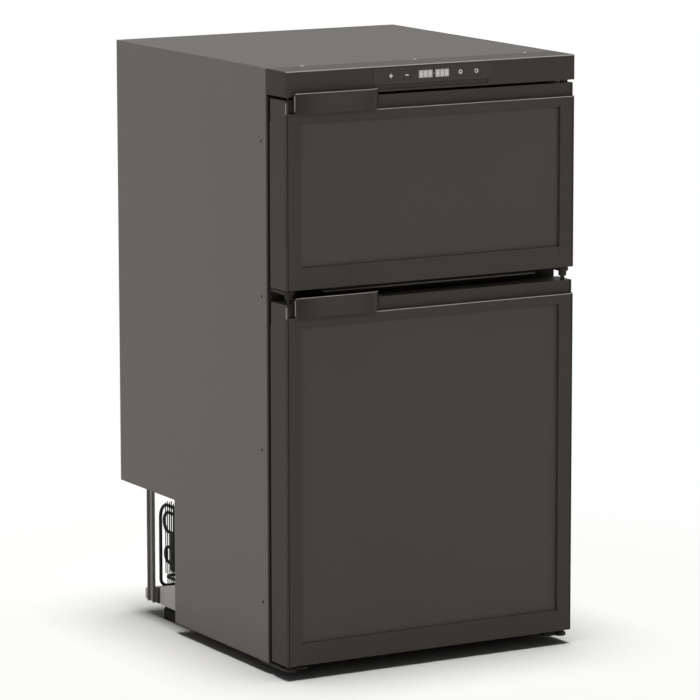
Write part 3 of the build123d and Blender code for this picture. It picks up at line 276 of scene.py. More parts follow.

# %% [markdown]
# The doors and the fascia are moulded in plastic with a spark-eroded texture: a dense, shallow grain
# that spreads a highlight. A cell pattern mixed with noise gives that pebbled look. Where a moulding gets
# painted shade in one place, a small function called a tint works on its plain colour.

# %% Moulded plastic


def moulded_plastic(name, colour, roughness, grain=0.04 * mm, pitch=1400, gloss=0.15, tint=None):
    """The grain is a depth, and the pitch is cells per metre."""
    finish = Finish(name)
    cells = finish.node(
        "ShaderNodeTexVoronoi",
        {"feature": "SMOOTH_F1"},
        {"Vector": finish.place, "Scale": pitch, "Smoothness": 0.6},
    )
    cloud = finish.noise(6, 3)
    fine = finish.noise(pitch * 0.6, 2)
    plain = finish.blend(cloud, shade(colour, 0.94), shade(colour, 1.06))
    finish.set(
        base_color=tint(finish, plain) if tint else plain,
        roughness=fine * 0.1 + cloud * 0.05 + (roughness - 0.075),
        normal=finish.bump(cells * 0.7 + fine * 0.3, grain, 0.5),
        specular_ior_level=gloss,
    )
    return finish.material


fine_grain = 0.02 * mm
mouldings = {
    "frame_plastic": moulded_plastic("front_frame_black", (0.026, 0.024, 0.02), 0.6, gloss=0.08),
    "fascia_plastic": moulded_plastic("fascia_grey", (0.058, 0.0505, 0.042), 0.5, gloss=0.03),
    "module_plastic": moulded_plastic("module_grey", dark_grey, 0.4, fine_grain),
    "key_plastic": moulded_plastic("key_grey", dark_grey, 0.4, fine_grain),
    "board": moulded_plastic("board_green", (0.02, 0.12, 0.05), 0.4, fine_grain, 700),
    "skid_plastic": moulded_plastic("skid_black", soft_black, 0.7, gloss=0.05),
    "clip_plastic": moulded_plastic("clip_black", (0.03, 0.027, 0.024), 0.5),
    "fan_plastic": moulded_plastic("fan_black", (0.022, 0.022, 0.022), 0.45),
}
finishes |= mouldings
print("moulded finishes", len(mouldings))

# %% [markdown]
# The liners, the latch bolts and the display's pane come out of polished moulds. They have no grain,
# only the faint waviness of a large tool under a thin gloss.

# %% Smooth plastic


def smooth_plastic(name, colour, roughness):
    finish = Finish(name)
    wave = finish.noise(14, 2)
    fine = finish.noise(420, 2)
    finish.set(
        base_color=finish.blend(wave, shade(colour, 0.96), colour),
        roughness=fine * 0.06 + (roughness - 0.03),
        normal=finish.bump(wave, 0.1 * mm, 0.1),
        coat_weight=fine * 0.06 + 0.04,
        specular_ior_level=0.25,
    )
    return finish.material


polished = {
    "liner_plastic": smooth_plastic("white_liner", (0.78, 0.79, 0.79), 0.3),
    "latch_plastic": smooth_plastic("latch_black", soft_black, 0.4),
    "window_plastic": smooth_plastic("window_black", (0.03, 0.028, 0.025), 0.15),
}
finishes |= polished
print("smooth finishes", len(polished))

# %% [markdown]
# The door's stiles are profiles with a fine groove a few millimetres inside their outer corner, which shows
# as a dark hairline from top to bottom. It is far too fine to model, so its shade is painted: a mask on the
# distance from the middle of the door darkens the plastic there.

# %% Profile plastic
groove_x, groove_width = 221.8 * mm, 0.9 * mm


def groove(finish, plain):
    """Painted shade of the groove: soft black where the place is as far from the middle as the groove."""
    off = abs(abs(finish.across()) - groove_x)
    return finish.blend(off.clip(groove_width * 0.5, groove_width * 0.9), soft_black, plain)


profile_grey = (0.058, 0.0515, 0.0425)
finishes["profile_plastic"] = moulded_plastic("profile_grey", profile_grey, 0.5, gloss=0.06, tint=groove)
print("groove", groove_x, "m from the middle")

# %% [markdown]
# The paddles look dished: lighter in the middle of their length and darker towards both ends.
# This is painted shade: a mask on the distance from the middle of the paddle darkens the colour towards the
# ends.

# %% Paddle plastic
paddle_grey = (0.046, 0.0415, 0.035)
paddle_x, end_shade_start, end_shade_end = -147 * mm, 20 * mm, 70 * mm


def paddle_end_shade(finish, plain):
    """Painted shade: half as bright at the paddle's ends."""
    off = abs(finish.across() - paddle_x)
    return finish.blend(off.clip(end_shade_start, end_shade_end), plain, shade(paddle_grey, 0.5))


finishes["handle_plastic"] = moulded_plastic("paddle_grey", paddle_grey, 0.35, 0.03 * mm, tint=paddle_end_shade)
print("paddle darkens", end_shade_start, "to", end_shade_end, "m from its middle")

# %% [markdown]
# Bare metals differ mostly in how they were worked. Rolled sheet carries long fine scratches,
# a drawn bar is smooth along its length, and zinc on the hidden steel grows in flat crystals.
# A noise that is stretched along one axis gives strokes, and a cell pattern gives the crystals.

# %% Bare metals
along_x, along_y = (1, 40, 40), (40, 1, 40)


def brushed_metal(name, colour, roughness, along=along_x):
    finish = Finish(name)
    strokes = finish.noise(60, 6, along)
    cloud = finish.noise(9, 2)
    finish.set(
        base_color=finish.blend(strokes, shade(colour, 0.86), colour),
        roughness=strokes * 0.16 + cloud * 0.06 + (roughness - 0.1),
        metallic=1.0,
        normal=finish.bump(strokes, 0.02 * mm, 0.4),
    )
    return finish.material


def zinc_steel(name, colour):
    finish = Finish(name)
    spangle = finish.node(
        "ShaderNodeTexVoronoi",
        {"feature": "F1"},
        {"Vector": finish.place, "Scale": 70.0},
        out="Color",
    )
    grey = finish.node("ShaderNodeRGBToBW", None, {"Color": spangle})
    cloud = finish.noise(5, 3)
    finish.set(
        base_color=finish.blend(grey * 0.7 + cloud * 0.3, shade(colour, 0.8), colour),
        roughness=grey * 0.2 + 0.3,
        metallic=0.75,
        normal=finish.bump(grey, 0.01 * mm, 0.4),
    )
    return finish.material


metals = {
    "back_steel": zinc_steel("zinc_sheet", (0.55, 0.55, 0.54)),
    "screw_steel": brushed_metal("screw_zinc", (0.72, 0.72, 0.7), 0.3),
    "evaporator_aluminium": brushed_metal("cold_plate", (0.82, 0.83, 0.84), 0.36, along_y),
    "shelf_wire": brushed_metal("shelf_chrome", (0.85, 0.85, 0.86), 0.18, along_y),
    "inverter_case": brushed_metal("inverter_black", (0.08, 0.08, 0.08), 0.45),
}
finishes |= metals
print("bare metals", len(metals))

# %% [markdown]
# Rubber and foam: the seals are matt and pick up a little dust, and the foam is a froth of closed cells.

# %% Rubber and foam


def rubber(name, colour, roughness=0.62):
    finish = Finish(name)
    dust = finish.noise(40, 5)
    fine = finish.noise(800, 2)
    dusty = tuple(part + 0.03 for part in colour)
    finish.set(
        base_color=finish.blend(dust.clip(0.45, 0.8) * 0.5, colour, dusty),
        roughness=dust * 0.14 + (roughness - 0.07),
        normal=finish.bump(fine, 0.04 * mm, 0.5),
    )
    return finish.material


def foam(name, colour):
    finish = Finish(name)
    cells = finish.node("ShaderNodeTexVoronoi", {"feature": "F1"}, {"Vector": finish.place, "Scale": 320.0})
    cloud = finish.noise(12, 4)
    finish.set(
        base_color=finish.blend(cells * 0.6 + cloud * 0.4, shade(colour, 0.8), colour),
        roughness=0.85,
        normal=finish.bump(cells + cloud * 0.5, 0.4 * mm, 0.6),
    )
    return finish.material


soft = {
    "gasket_rubber": rubber("seal_rubber", (0.022, 0.022, 0.021)),
    "mount_rubber": rubber("mount_rubber", (0.03, 0.03, 0.03)),
    "foam": foam("yellow_foam", (0.72, 0.62, 0.4)),
}
finishes |= soft
print("soft finishes", len(soft))

# %% [markdown]
# The crisper and the bottle racks are clear polystyrene that lets some light through, the crisper's cover
# is glass, and the lamp's lens is cloudy. They are one finish with more or less transmission.

# %% Clear finishes


def clear_plastic(name, colour, roughness, transmission):
    finish = Finish(name)
    wave = finish.noise(25, 2)
    fine = finish.noise(300, 3)
    finish.set(
        base_color=finish.blend(wave, shade(colour, 0.95), colour),
        roughness=fine * 0.08 + (roughness - 0.04),
        transmission_weight=transmission,
        ior=1.5,
        normal=finish.bump(wave, 0.3 * mm, 0.1),
    )
    return finish.material


clear = {
    "cover_glass": clear_plastic("cover_glass", (0.86, 0.95, 0.93), 0.04, 0.92),
    "crisper_plastic": clear_plastic("clear_moulding", (0.86, 0.9, 0.92), 0.14, 0.78),
    "lamp_plastic": clear_plastic("lamp_lens", (0.95, 0.95, 0.92), 0.35, 0.4),
}
finishes |= clear
print("clear finishes", len(clear))

# %% [markdown]
# The record gives every node a material slot, and the finishes are named after those slots, so each node
# looks its finish up. Only the base pan has one of its own: near black, as painted shade under the body.

# %% Finishes on the nodes
for node, piece in nodes.items():
    piece.data.materials.clear()
    piece.data.materials.append(finishes["pan_paint" if node == "base_pan" else slot_of_node[node]])
print("dressed", len(nodes), "nodes in", len(finishes), "finishes")

# %% [markdown]
# A moulded or folded edge is never razor sharp, and the thin bright line along it is what tells the eye
# that a part is solid. Each visible solid is copied, its loose triangles are merged and its flat faces
# dissolved, and then a Bevel modifier rolls every hard edge over by a few tenths of a millimetre.
# Smooth shading alone would let the small rolled faces tilt the light on the big flat ones, in streaks,
# so a Weighted Normal modifier then lets each big face keep its own direction.

# %% Softened edges
same_point = 0.002 * mm
same_flat = math.radians(0.6)
radius_beside_painted_light = 0.15 * mm


def finished_mesh(piece):
    """The piece with its modifiers worked into a plain mesh."""
    shown = piece.evaluated_get(bpy.context.evaluated_depsgraph_get())
    mesh = bpy.data.meshes.new_from_object(shown)
    piece.modifiers.clear()
    piece.data = mesh
    return piece


def new_piece(name, mesh=None):
    piece = bpy.data.objects.new(name, mesh or bpy.data.meshes.new(name))
    bpy.context.scene.collection.objects.link(piece)
    return piece


def evenly_shaded(piece, smooth_angle=38):
    """Smooth where faces meet gently, sharp where they don't, and true on the flats."""
    piece.data.shade_smooth()
    piece.data.set_sharp_from_angle(angle=math.radians(smooth_angle))
    weighted = piece.modifiers.new("true flats", "WEIGHTED_NORMAL")
    weighted.keep_sharp = True
    weighted.weight = 100
    return finished_mesh(piece)


def merged_copy(node):
    """A copy of a solid's mesh with its doubles merged and its flat faces joined."""
    mesh = nodes[node].data.copy()
    if mesh.attributes.get("custom_normal"):
        mesh.attributes.remove(mesh.attributes["custom_normal"])
    grid = bmesh.new()
    grid.from_mesh(mesh)
    bmesh.ops.remove_doubles(grid, verts=grid.verts, dist=same_point)
    bmesh.ops.dissolve_limit(grid, angle_limit=same_flat, verts=grid.verts, edges=grid.edges)
    grid.to_mesh(mesh)
    grid.free()
    return mesh


def paint_light_on_edges(piece, radius, finish, chosen):
    """Rolls the chosen hard edges over by the full radius and gives them a finish of their own, which paints a
    highlight or shade on them.
    """
    piece.data.materials.append(finish)
    grid = bmesh.new()
    grid.from_mesh(piece.data)
    bmesh.ops.triangulate(grid, faces=[face for face in grid.faces if len(face.verts) > 4])
    hard = [edge for edge in grid.edges if edge.calc_face_angle(0) > math.radians(50)]
    hard = [edge for edge in hard if chosen(edge, *[v.co / mm for v in edge.verts])]
    rounding = {"offset": radius, "segments": 3, "profile": 0.5, "affect": "EDGES", "clamp_overlap": False}
    bmesh.ops.bevel(grid, geom=hard, material=1, **rounding)
    grid.to_mesh(piece.data)
    grid.free()
    print(piece.name, "shines along", len(hard), "edges")


def softened(node, radius, shine=None):
    """The solid with its hard edges rolled over. Shine is a finish of painted highlight or shade, and a choice
    of long edges that get it.
    """
    piece = new_piece(f"{node}_soft", merged_copy(node))
    if shine is not None:
        paint_light_on_edges(piece, radius, *shine)
        radius = radius_beside_painted_light
    roll = piece.modifiers.new("rolled edges", "BEVEL")
    roll.width = radius
    roll.segments = 2
    roll.limit_method = "ANGLE"
    roll.angle_limit = math.radians(32)
    roll.use_clamp_overlap = True
    roll.miter_outer = "MITER_ARC"
    evenly_shaded(finished_mesh(piece))
    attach(piece, body_of_node[node])
    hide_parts(node)
    return piece


print("a softened piece keeps points that are more than", same_point, "m apart")

# %% [markdown]
# How far an edge rolls over tells the eye what the part is made of: folded sheet a quarter of a millimetre,
# the small keys half of that, and thick mouldings about a millimetre.

# %% Radius of each piece's edges
doors = ("upper_door", "lower_door")
rolled = {
    "fascia": 1.2,
    "side_panel_left": 0.25,
    "side_panel_right": 0.25,
    "top_panel": 0.25,
    "control_module": 0.3,
    "display_window": 0.2,
    "plus_key": 0.12,
    "minus_key": 0.12,
    "power_key": 0.12,
    "mode_key": 0.12,
    "hinge_brackets": 0.4,
    "catch_brackets": 0.4,
    "compressor_tray": 0.3,
    "tray_posts": 0.9,
    "tray_clips": 0.4,
    "base_skids": 0.8,
    "crisper_box": 0.6,
    "door_racks": 0.6,
    "inverter_unit": 0.4,
    "fan_frame": 0.5,
}
rolled_on_doors = {
    "stiles": 0.5,
    "top_rail": 0.9,
    "bottom_rail": 0.4,
    "panel": 0.2,
    "fittings": 0.8,
    "handle": 0.9,
    "latch_bolt": 0.3,
    "liner": 1.2,
}
for door in doors:
    rolled |= {f"{door}_{part}": radius for part, radius in rolled_on_doors.items()}
print("radii for", len(rolled), "pieces, in mm from", min(rolled.values()), "to", max(rolled.values()))

# %% [markdown]
# Some long edges show a thin bright line in the picture: the fascia's top front edge, the top and end of
# each paddle, the cap at the latch side, and the lip below each finger gap. There the edge is rolled over
# by its full radius and gets a painted highlight, a lighter and smoother finish, while the piece's other
# edges are rolled over by much less. Under the paddle the lip lies in shadow, so its finish is painted shade
# there, with a mask on the place along X. The tray posts get painted shade on their long edges in the same way.

# %% Painted highlights and shade on edges
# Two tones of painted highlight.
dim_highlight_tone, bright_highlight_tone = (0.3, 0.28, 0.25), (0.46, 0.43, 0.39)
fade = 4 * mm
lip_shade_ends = -85 * mm


def painted_light_edge_finish(name, from_x=-1.0, strength=1.0):
    """A painted highlight to the right of from_x, and painted shade to the left of it."""
    finish = Finish(name)
    highlight_noise = finish.noise(60, 4)
    bright = finish.blend(highlight_noise, shade(dim_highlight_tone, strength), shade(bright_highlight_tone, strength))
    shown = finish.across().clip(from_x - fade, from_x + fade)
    finish.set(base_color=finish.blend(shown, soft_black, bright), roughness=highlight_noise * 0.2 + 0.25)
    return finish.material


# Painted highlights on the fascia, cap and paddle edges. The lip's highlight turns to painted shade under the
# paddle, and the posts' edges get painted shade.
edge_shine = painted_light_edge_finish("edge_shine", strength=0.7)
lip_shine = painted_light_edge_finish("lip_shine", lip_shade_ends)
paddle_shine = painted_light_edge_finish("paddle_shine", strength=0.6)
post_edge = painted_light_edge_finish("post_edge", strength=0.05)
print("edge finishes", edge_shine.name, lip_shine.name, paddle_shine.name, post_edge.name)

# %% [markdown]
# An edge is chosen by where it lies and how far it runs. Each rule below gets the edge and its two ends,
# in millimetres, and says whether the edge gets the painted highlight or shade.

# %% Which edges get painted light
top_edge_z, front_y, cap_x = 821.9, -243, -221


def faces_front(edge):
    return any(face.normal.y < -0.3 for face in edge.link_faces)


def on_top_front(edge, a, b):
    return min(a.z, b.z) > top_edge_z and max(a.y, b.y) < front_y


def on_post(edge, a, b):
    return abs(a.z - b.z) > 100


def on_cap_mouth(edge, a, b):
    """The two upright front edges of the thin cap that closes the finger gap at the latch side."""
    return abs(a.z - b.z) > 12 and max(a.y, b.y) < front_y and max(a.x, b.x) < cap_x


def on_paddle(top):
    """The front edges along the top of a paddle and up its ends."""
    return lambda edge, a, b: faces_front(edge) and (min(a.z, b.z) > top - 1 or abs(a.z - b.z) > 15)


def on_gap_lip(foot):
    """The long front edge of a top rail, below its finger gap."""
    return lambda edge, a, b: abs(a.x - b.x) > 60 and foot + 3 < a.z < foot + 20 and a.y < -240


# The fascia's top front edge gets a painted highlight, and the posts' long edges get painted shade.
shines = {"fascia": (edge_shine, on_top_front), "tray_posts": (post_edge, on_post)}
for door in doors:
    rail_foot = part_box(f"{door}_top_rail")[0].z / mm
    paddle_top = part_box(f"{door}_handle")[1].z / mm
    shines[f"{door}_handle"] = (paddle_shine, on_paddle(paddle_top))
    shines[f"{door}_top_rail"] = (lip_shine, on_gap_lip(rail_foot))
    shines[f"{door}_fittings"] = (edge_shine, on_cap_mouth)
for node, radius in rolled.items():
    softened(node, radius * mm, shines.get(node))

# %% [markdown]
# Screws, gaskets, cold plate channels and guard wires all repeat, or follow a path, by a rule.
# That is what Geometry Nodes are for: a tree takes a few sizes and grows the piece from them, so changing
# one number regrows it. Tree builds such a tree from a script. Its sizes are named inputs, and it ends in
# Realize Instances and Set Material, since only real faces are exported. The result is then worked into a
# plain mesh, so that the finished object is a mesh like any other.

# %% Geometry Nodes from a script


class Tree(Maker):
    """A Geometry Nodes tree: named sizes go in, one dressed mesh comes out."""

    def __init__(self, name, **sizes):
        super().__init__(bpy.data.node_groups.new(name, "GeometryNodeTree"))
        self.sizes = {}
        for label, value in sizes.items():
            kind = "NodeSocketInt" if isinstance(value, int) else "NodeSocketFloat"
            socket = self.tree.interface.new_socket(label, in_out="INPUT", socket_type=kind)
            self.sizes[label] = (socket.identifier, value)
        self.tree.interface.new_socket("Geometry", in_out="OUTPUT", socket_type="NodeSocketGeometry")
        self.start = self.tree.nodes.new("NodeGroupInput")
        self.end = self.tree.nodes.new("NodeGroupOutput")

    def __getitem__(self, label):
        return Signal(self, self.start.outputs[label])

    def spot(self, x=0.0, y=0.0, z=0.0):
        return self.node("ShaderNodeCombineXYZ", None, {0: x, 1: y, 2: z})

    def moved(self, shape, place=(0, 0, 0), turn=(0, 0, 0), scale=(1, 1, 1)):
        sockets = {"Geometry": shape, "Translation": place, "Rotation": turn, "Scale": scale}
        return self.node("GeometryNodeTransform", None, sockets)

    def joined(self, *shapes):
        return self.node("GeometryNodeJoinGeometry", None, {0: list(shapes)})

    def repeated(self, points, shape, **more):
        return self.node("GeometryNodeInstanceOnPoints", None, {"Points": points, "Instance": shape, **more})

    def points(self, count, step, start=(0, 0, 0)):
        """A row of points, from the start on."""
        sockets = {"Count": count, "Start Location": start, "Offset": step}
        return self.node("GeometryNodeMeshLine", {"mode": "OFFSET"}, sockets)

    def straight(self, reach):
        """A line along X, this far to each side."""
        ends = {"Start": self.spot(reach * -1), "End": self.spot(reach)}
        return self.node("GeometryNodeCurvePrimitiveLine", None, ends)

    def circle(self, radius, resolution):
        sockets = {"Resolution": resolution, "Radius": radius}
        return self.node("GeometryNodeCurvePrimitiveCircle", {"mode": "RADIUS"}, sockets)

    def filleted(self, curve, radius, count):
        sockets = {"Curve": curve, "Radius": radius, "Count": count, "Limit Radius": True}
        return self.node("GeometryNodeFilletCurve", {"mode": "POLY"}, sockets)

    def rectangle(self, width, height):
        sockets = {"Width": width, "Height": height}
        return self.node("GeometryNodeCurvePrimitiveQuadrilateral", {"mode": "RECTANGLE"}, sockets)

    def realized(self, shape):
        return self.node("GeometryNodeRealizeInstances", None, {0: shape})

    def swept(self, path, profile, closed=False):
        sockets = {"Curve": path, "Profile Curve": profile, "Fill Caps": closed}
        return self.node("GeometryNodeCurveToMesh", None, sockets)

    def grown(self, name, shape, material):
        """The piece that the tree makes, as a plain mesh in this material."""
        sockets = {"Geometry": self.realized(shape), "Material": material}
        dressed = self.node("GeometryNodeSetMaterial", None, sockets)
        self.tree.links.new(dressed.socket, self.end.inputs[0])
        piece = new_piece(name)
        grower = piece.modifiers.new("grown", "NODES")
        grower.node_group = self.tree
        for identifier, value in self.sizes.values():
            grower[identifier] = value
        finished_mesh(piece)
        if not piece.data.polygons:
            raise ValueError(f"the tree of {name} made nothing")
        print(name, len(piece.data.polygons), "faces")
        return piece


# %% [markdown]
# A door's gasket is an extruded strip mitred into a frame: a flat foot that pushes into the door's groove,
# a pleated bellows that lets it give, and a soft head with a magnet in it that snaps to the cabinet.
# It could be modelled as a box frame with grooves cut in. Sweeping each layer's section round one
# rounded rectangle is shorter, and the corners come out right by themselves.

# %% Door gaskets
upright = (math.radians(90), 0, 0)
touching = 0.001 * mm


def door_gasket(door):
    node = f"{door}_gasket"
    low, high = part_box(node)
    seal = Tree(
        f"{node}_tree",
        **{
            "Width": high[0] - low[0],
            "Height": high[2] - low[2],
            "Corner": 4 * mm,
            "Foot Width": 12 * mm,
            "Foot Depth": 1.5 * mm,
            "Pleat Width": 7 * mm,
            "Pleat Depth": 1.1 * mm,
            "Head Width": 11 * mm,
            "Head Depth": 2.2 * mm,
            "Rounding": 0.7 * mm,
        },
    )
    frame_line = seal.rectangle(seal["Width"] - seal["Foot Width"], seal["Height"] - seal["Foot Width"])
    path = seal.filleted(frame_line, seal["Corner"], 6)

    def band(width, depth, middle, rounding=None):
        section = seal.rectangle(width, depth)
        if rounding is not None:
            section = seal.filleted(section, rounding, 4)
        return seal.moved(seal.swept(path, section), seal.spot(z=middle))

    foot, pleat, head = seal["Foot Depth"], seal["Pleat Depth"], seal["Head Depth"]
    fold = seal["Rounding"] * 0.6
    layers = seal.joined(
        band(seal["Foot Width"], foot, foot * 0.5),
        band(seal["Pleat Width"], pleat, foot + pleat * 0.5, fold),
        band(seal["Pleat Width"] * 0.7, pleat, foot + pleat * 1.3),
        band(seal["Pleat Width"], pleat, foot + pleat * 2.2, fold),
        band(seal["Head Width"], head, (high[1] - low[1]) - head * 0.5, seal["Rounding"]),
    )
    middle = ((low[0] + high[0]) / 2, low[1], (low[2] + high[2]) / 2)
    standing = seal.moved(layers, middle, upright, (1, 1, -1))
    piece = seal.grown(f"{node}_strip", standing, finishes["gasket_rubber"])
    turned_outwards(piece)
    evenly_shaded(piece, 50)
    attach(piece, body_of_node[node])
    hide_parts(node)
    return piece


def turned_outwards(piece):
    """Makes every face point away from the inside of its shell."""
    grid = bmesh.new()
    grid.from_mesh(piece.data)
    bmesh.ops.remove_doubles(grid, verts=grid.verts, dist=touching)
    bmesh.ops.recalc_face_normals(grid, faces=grid.faces)
    grid.to_mesh(piece.data)
    grid.free()


for door in doors:
    door_gasket(door)

# %% [markdown]
# Three bright countersunk screws hold the top sheet down behind the fascia, and two black pan heads hold
# each middle bracket. On a real screw the cross recess is what makes it read as a screw, so the head here
# is a low cone with two bars taken out of it by a Boolean, then instanced along a line of points.

# %% Screws


def screw_row(name, first, step, count, radius, height, turn, material_slot):
    row = Tree(
        f"{name}_tree",
        **{
            "Count": count,
            "Head Radius": radius,
            "Head Height": height,
            "Recess Length": radius * 1.25,
            "Recess Width": radius * 0.3,
        },
    )
    head = row.node(
        "GeometryNodeMeshCone",
        {"fill_type": "NGON"},
        {
            "Vertices": 32,
            "Radius Top": row["Head Radius"] * 0.8,
            "Radius Bottom": row["Head Radius"],
            "Depth": row["Head Height"],
        },
    )
    long, thin = row["Recess Length"], row["Recess Width"]
    cuts = []
    deep = row["Head Height"] * 0.6
    for size in (row.spot(long, thin, deep), row.spot(thin, long, deep)):
        bar = row.node("GeometryNodeMeshCube", None, {"Size": size})
        cuts.append(row.moved(bar, row.spot(z=row["Head Height"] * 0.75)))
    cross = row.node("GeometryNodeMeshBoolean", {"operation": "UNION"}, {"Mesh 2": cuts})
    screw = row.node("GeometryNodeMeshBoolean", {"operation": "DIFFERENCE"}, {"Mesh 1": head, "Mesh 2": cross})
    heads = row.repeated(row.points(row["Count"], step, first), screw, Rotation=turn)
    piece = row.grown(name, heads, finishes[material_slot])
    evenly_shaded(piece, 30)
    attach(piece, "cabinet")
    return piece


seam_start, seam_step = (-168 * mm, -185.5 * mm, 821 * mm), (174 * mm, 0, 0)
seam_turn = (0, 0, 0.4)
screw_row(
    "seam_screws", seam_start, seam_step, 3, 3 * mm, 1 * mm, seam_turn, "screw_steel"
)
bracket_y, bracket_z, bracket_step = -197.05 * mm, 517 * mm, (14 * mm, 0, 0)
for name, first_x in (("bracket_screws", 186 * mm), ("catch_screws", -200 * mm)):
    first = (first_x, bracket_y, bracket_z)
    screw_row(name, first, bracket_step, 2, 3.2 * mm, 1.6 * mm, upright, "bracket_steel")
for row in ("seam_screws", "bracket_screws", "catch_screws"):
    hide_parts("panel_screws")

# %% [markdown]
# A cold plate is two aluminium sheets rolled together. Where they were kept apart, a channel is blown up
# between them, and the refrigerant runs through it to and fro. Drawing that as one long hand-made path
# would be tedious. The rule is simple, though: straight rows on a line of points, joined by half circles
# that sit at the right and the left end in turn, which the row's index modulo 2 decides.

# %% Cold plate channels


def channel_field(name, rows, pitch, length, place, turn):
    """Rows in X, stacked along Y, then turned and moved to the plate's face."""
    field = Tree(
        f"{name}_tree", **{"Rows": rows, "Pitch": pitch, "Length": length, "Width": 7 * mm, "Rise": 1.3 * mm}
    )
    reach, pitch_up = field["Length"] * 0.5, field.spot(y=field["Pitch"])
    straight = field.repeated(field.points(field["Rows"], pitch_up), field.straight(reach))
    index = field.node("GeometryNodeInputIndex")
    hand = 1 - (index % 2.0) * 2
    bend = field.node(
        "GeometryNodeCurveArc",
        {"mode": "RADIUS"},
        {"Resolution": 12, "Radius": field["Pitch"] * 0.5, "Start Angle": -math.pi / 2, "Sweep Angle": math.pi},
    )
    bend = field.moved(bend, field.spot(reach))
    turns = field.points(field["Rows"] - 1, pitch_up, field.spot(y=field["Pitch"] * 0.5))
    bends = field.repeated(turns, bend, Scale=field.spot(hand, 1.0, 1.0))
    paths = field.realized(field.joined(straight, bends))
    section = field.circle(0.5, 12)
    section = field.moved(section, scale=field.spot(field["Width"], field["Rise"] * 2, 1.0))
    tubes = field.swept(paths, section, True)
    piece = field.grown(name, field.moved(tubes, place, turn), finishes["evaporator_aluminium"])
    turned_outwards(piece)
    evenly_shaded(piece, 50)
    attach(piece, "cabinet")
    return piece


ice_low, ice_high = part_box("freezer_evaporator")
plate_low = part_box("fridge_evaporator")[0]
sheet, row_length, flat = 2 * mm, 290 * mm, (0, 0, 0)
back_name, back_pitch = "freezer_channels_back", 27 * mm
back_start = (0, ice_high[1] - sheet, ice_low[2] + back_pitch)
channel_field(back_name, 7, back_pitch, row_length, back_start, upright)
for face, z in (("floor", ice_low[2] + sheet), ("roof", ice_high[2] - sheet)):
    name, start = f"freezer_channels_{face}", (0, ice_low[1] + 40 * mm, z)
    channel_field(name, 9, 30 * mm, row_length, start, flat)
plate_start = (0, plate_low[1], plate_low[2] + 20 * mm)
channel_field("fridge_channels", 6, 24 * mm, 240 * mm, plate_start, upright)

# %% [markdown]
# The fan that blows through the condenser has a wire guard, so that no finger or cable gets at the blades:
# rings at one pitch on four spokes. The rings are one circle, instanced with a scale that grows by index.

# %% Fan guard


def fan_guard():
    low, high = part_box("fan_frame")
    guard = Tree(
        "fan_guard_tree", **{"Rings": 6, "Hub": 9 * mm, "Pitch": 6.6 * mm, "Wire": 0.8 * mm, "Reach": 43 * mm}
    )
    index = guard.node("GeometryNodeInputIndex")
    circle = guard.circle(1.0, 48)
    size = guard["Hub"] + index * guard["Pitch"]
    rings = guard.repeated(guard.points(guard["Rings"], (0, 0, 0)), circle, Scale=guard.spot(size, size, size))
    spoke = guard.straight(guard["Reach"])
    spokes = [guard.moved(spoke, turn=(0, 0, math.radians(angle))) for angle in (45, 135)]
    paths = guard.realized(guard.joined(rings, *spokes))
    wires = guard.swept(paths, guard.circle(guard["Wire"], 8), True)
    place = (low[0] - 0.6 * mm, (low[1] + high[1]) / 2, (low[2] + high[2]) / 2)
    piece = guard.grown("fan_guard", guard.moved(wires, place, (0, math.radians(90), 0)), finishes["coil_steel"])
    turned_outwards(piece)
    evenly_shaded(piece, 60)
    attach(piece, "cabinet")
    return piece


fan_guard()

# %% [markdown]
# The keys carry printed marks: plus, minus, and a ring on each of the two on the right. A print is a
# film of ink, so each mark is a thin plate on its key, and rides on it when the key is pressed. An extrude
# tool may list its faces in another order on each run, so the few faces are made one by one.

# %% Marks on the keys


def outline_plate(name, outlines, front, thickness, material_slot, body):
    """Flat shapes in the front plane, raised by a thickness. Each is a loop of (x, z) in mm, anticlockwise."""
    grid = bmesh.new()
    for loop in outlines:
        low, high = ([grid.verts.new((x * mm, y, z * mm)) for x, z in loop] for y in (front, front - thickness))
        grid.faces.new(low[::-1])
        grid.faces.new(high)
        for i in range(len(loop)):
            grid.faces.new((low[i - 1], low[i], high[i], high[i - 1]))
    piece = new_piece(name)
    grid.to_mesh(piece.data)
    grid.free()
    piece.data.materials.append(finishes[material_slot])
    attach(piece, body)


def bar(x, z, width, height):
    return [
        (x - width / 2, z - height / 2),
        (x + width / 2, z - height / 2),
        (x + width / 2, z + height / 2),
        (x - width / 2, z + height / 2),
    ]


def ring(x, z, outer, inner, count=32):
    """A ring as quads, so that the hole stays a hole."""
    loops = []
    for i in range(count):
        a, b = (2 * math.pi * k / count for k in (i, i + 1))
        loops.append([
            (x + math.cos(a) * inner, z + math.sin(a) * inner),
            (x + math.cos(a) * outer, z + math.sin(a) * outer),
            (x + math.cos(b) * outer, z + math.sin(b) * outer),
            (x + math.cos(b) * inner, z + math.sin(b) * inner),
        ])
    return loops


finishes["print_white"] = rubber("print_white", (0.86, 0.83, 0.78), 0.5)
key_front, ink = -244 * mm, 0.06 * mm
plus_x, minus_x, power_x, mode_x, mark_z = -65.0, -40.5, 42.5, 67.5, 808.4
wide, thin = 5.8, 1.1
ring_outer, power_hole, mode_hole = 2.8, 1.7, 1.9
arm = (wide - thin) / 2
arm_middle = (thin + arm) / 2
plus_mark = [
    bar(plus_x, mark_z, thin, thin),
    bar(plus_x - arm_middle, mark_z, arm, thin),
    bar(plus_x + arm_middle, mark_z, arm, thin),
    bar(plus_x, mark_z - arm_middle, thin, arm),
    bar(plus_x, mark_z + arm_middle, thin, arm),
]
minus_mark = [bar(minus_x, mark_z, wide, thin)]
power_mark = ring(power_x, mark_z, ring_outer, power_hole)
mode_mark = ring(mode_x, mark_z, ring_outer, mode_hole)
outline_plate("plus_mark", plus_mark, key_front, ink, "print_white", "plus_button")
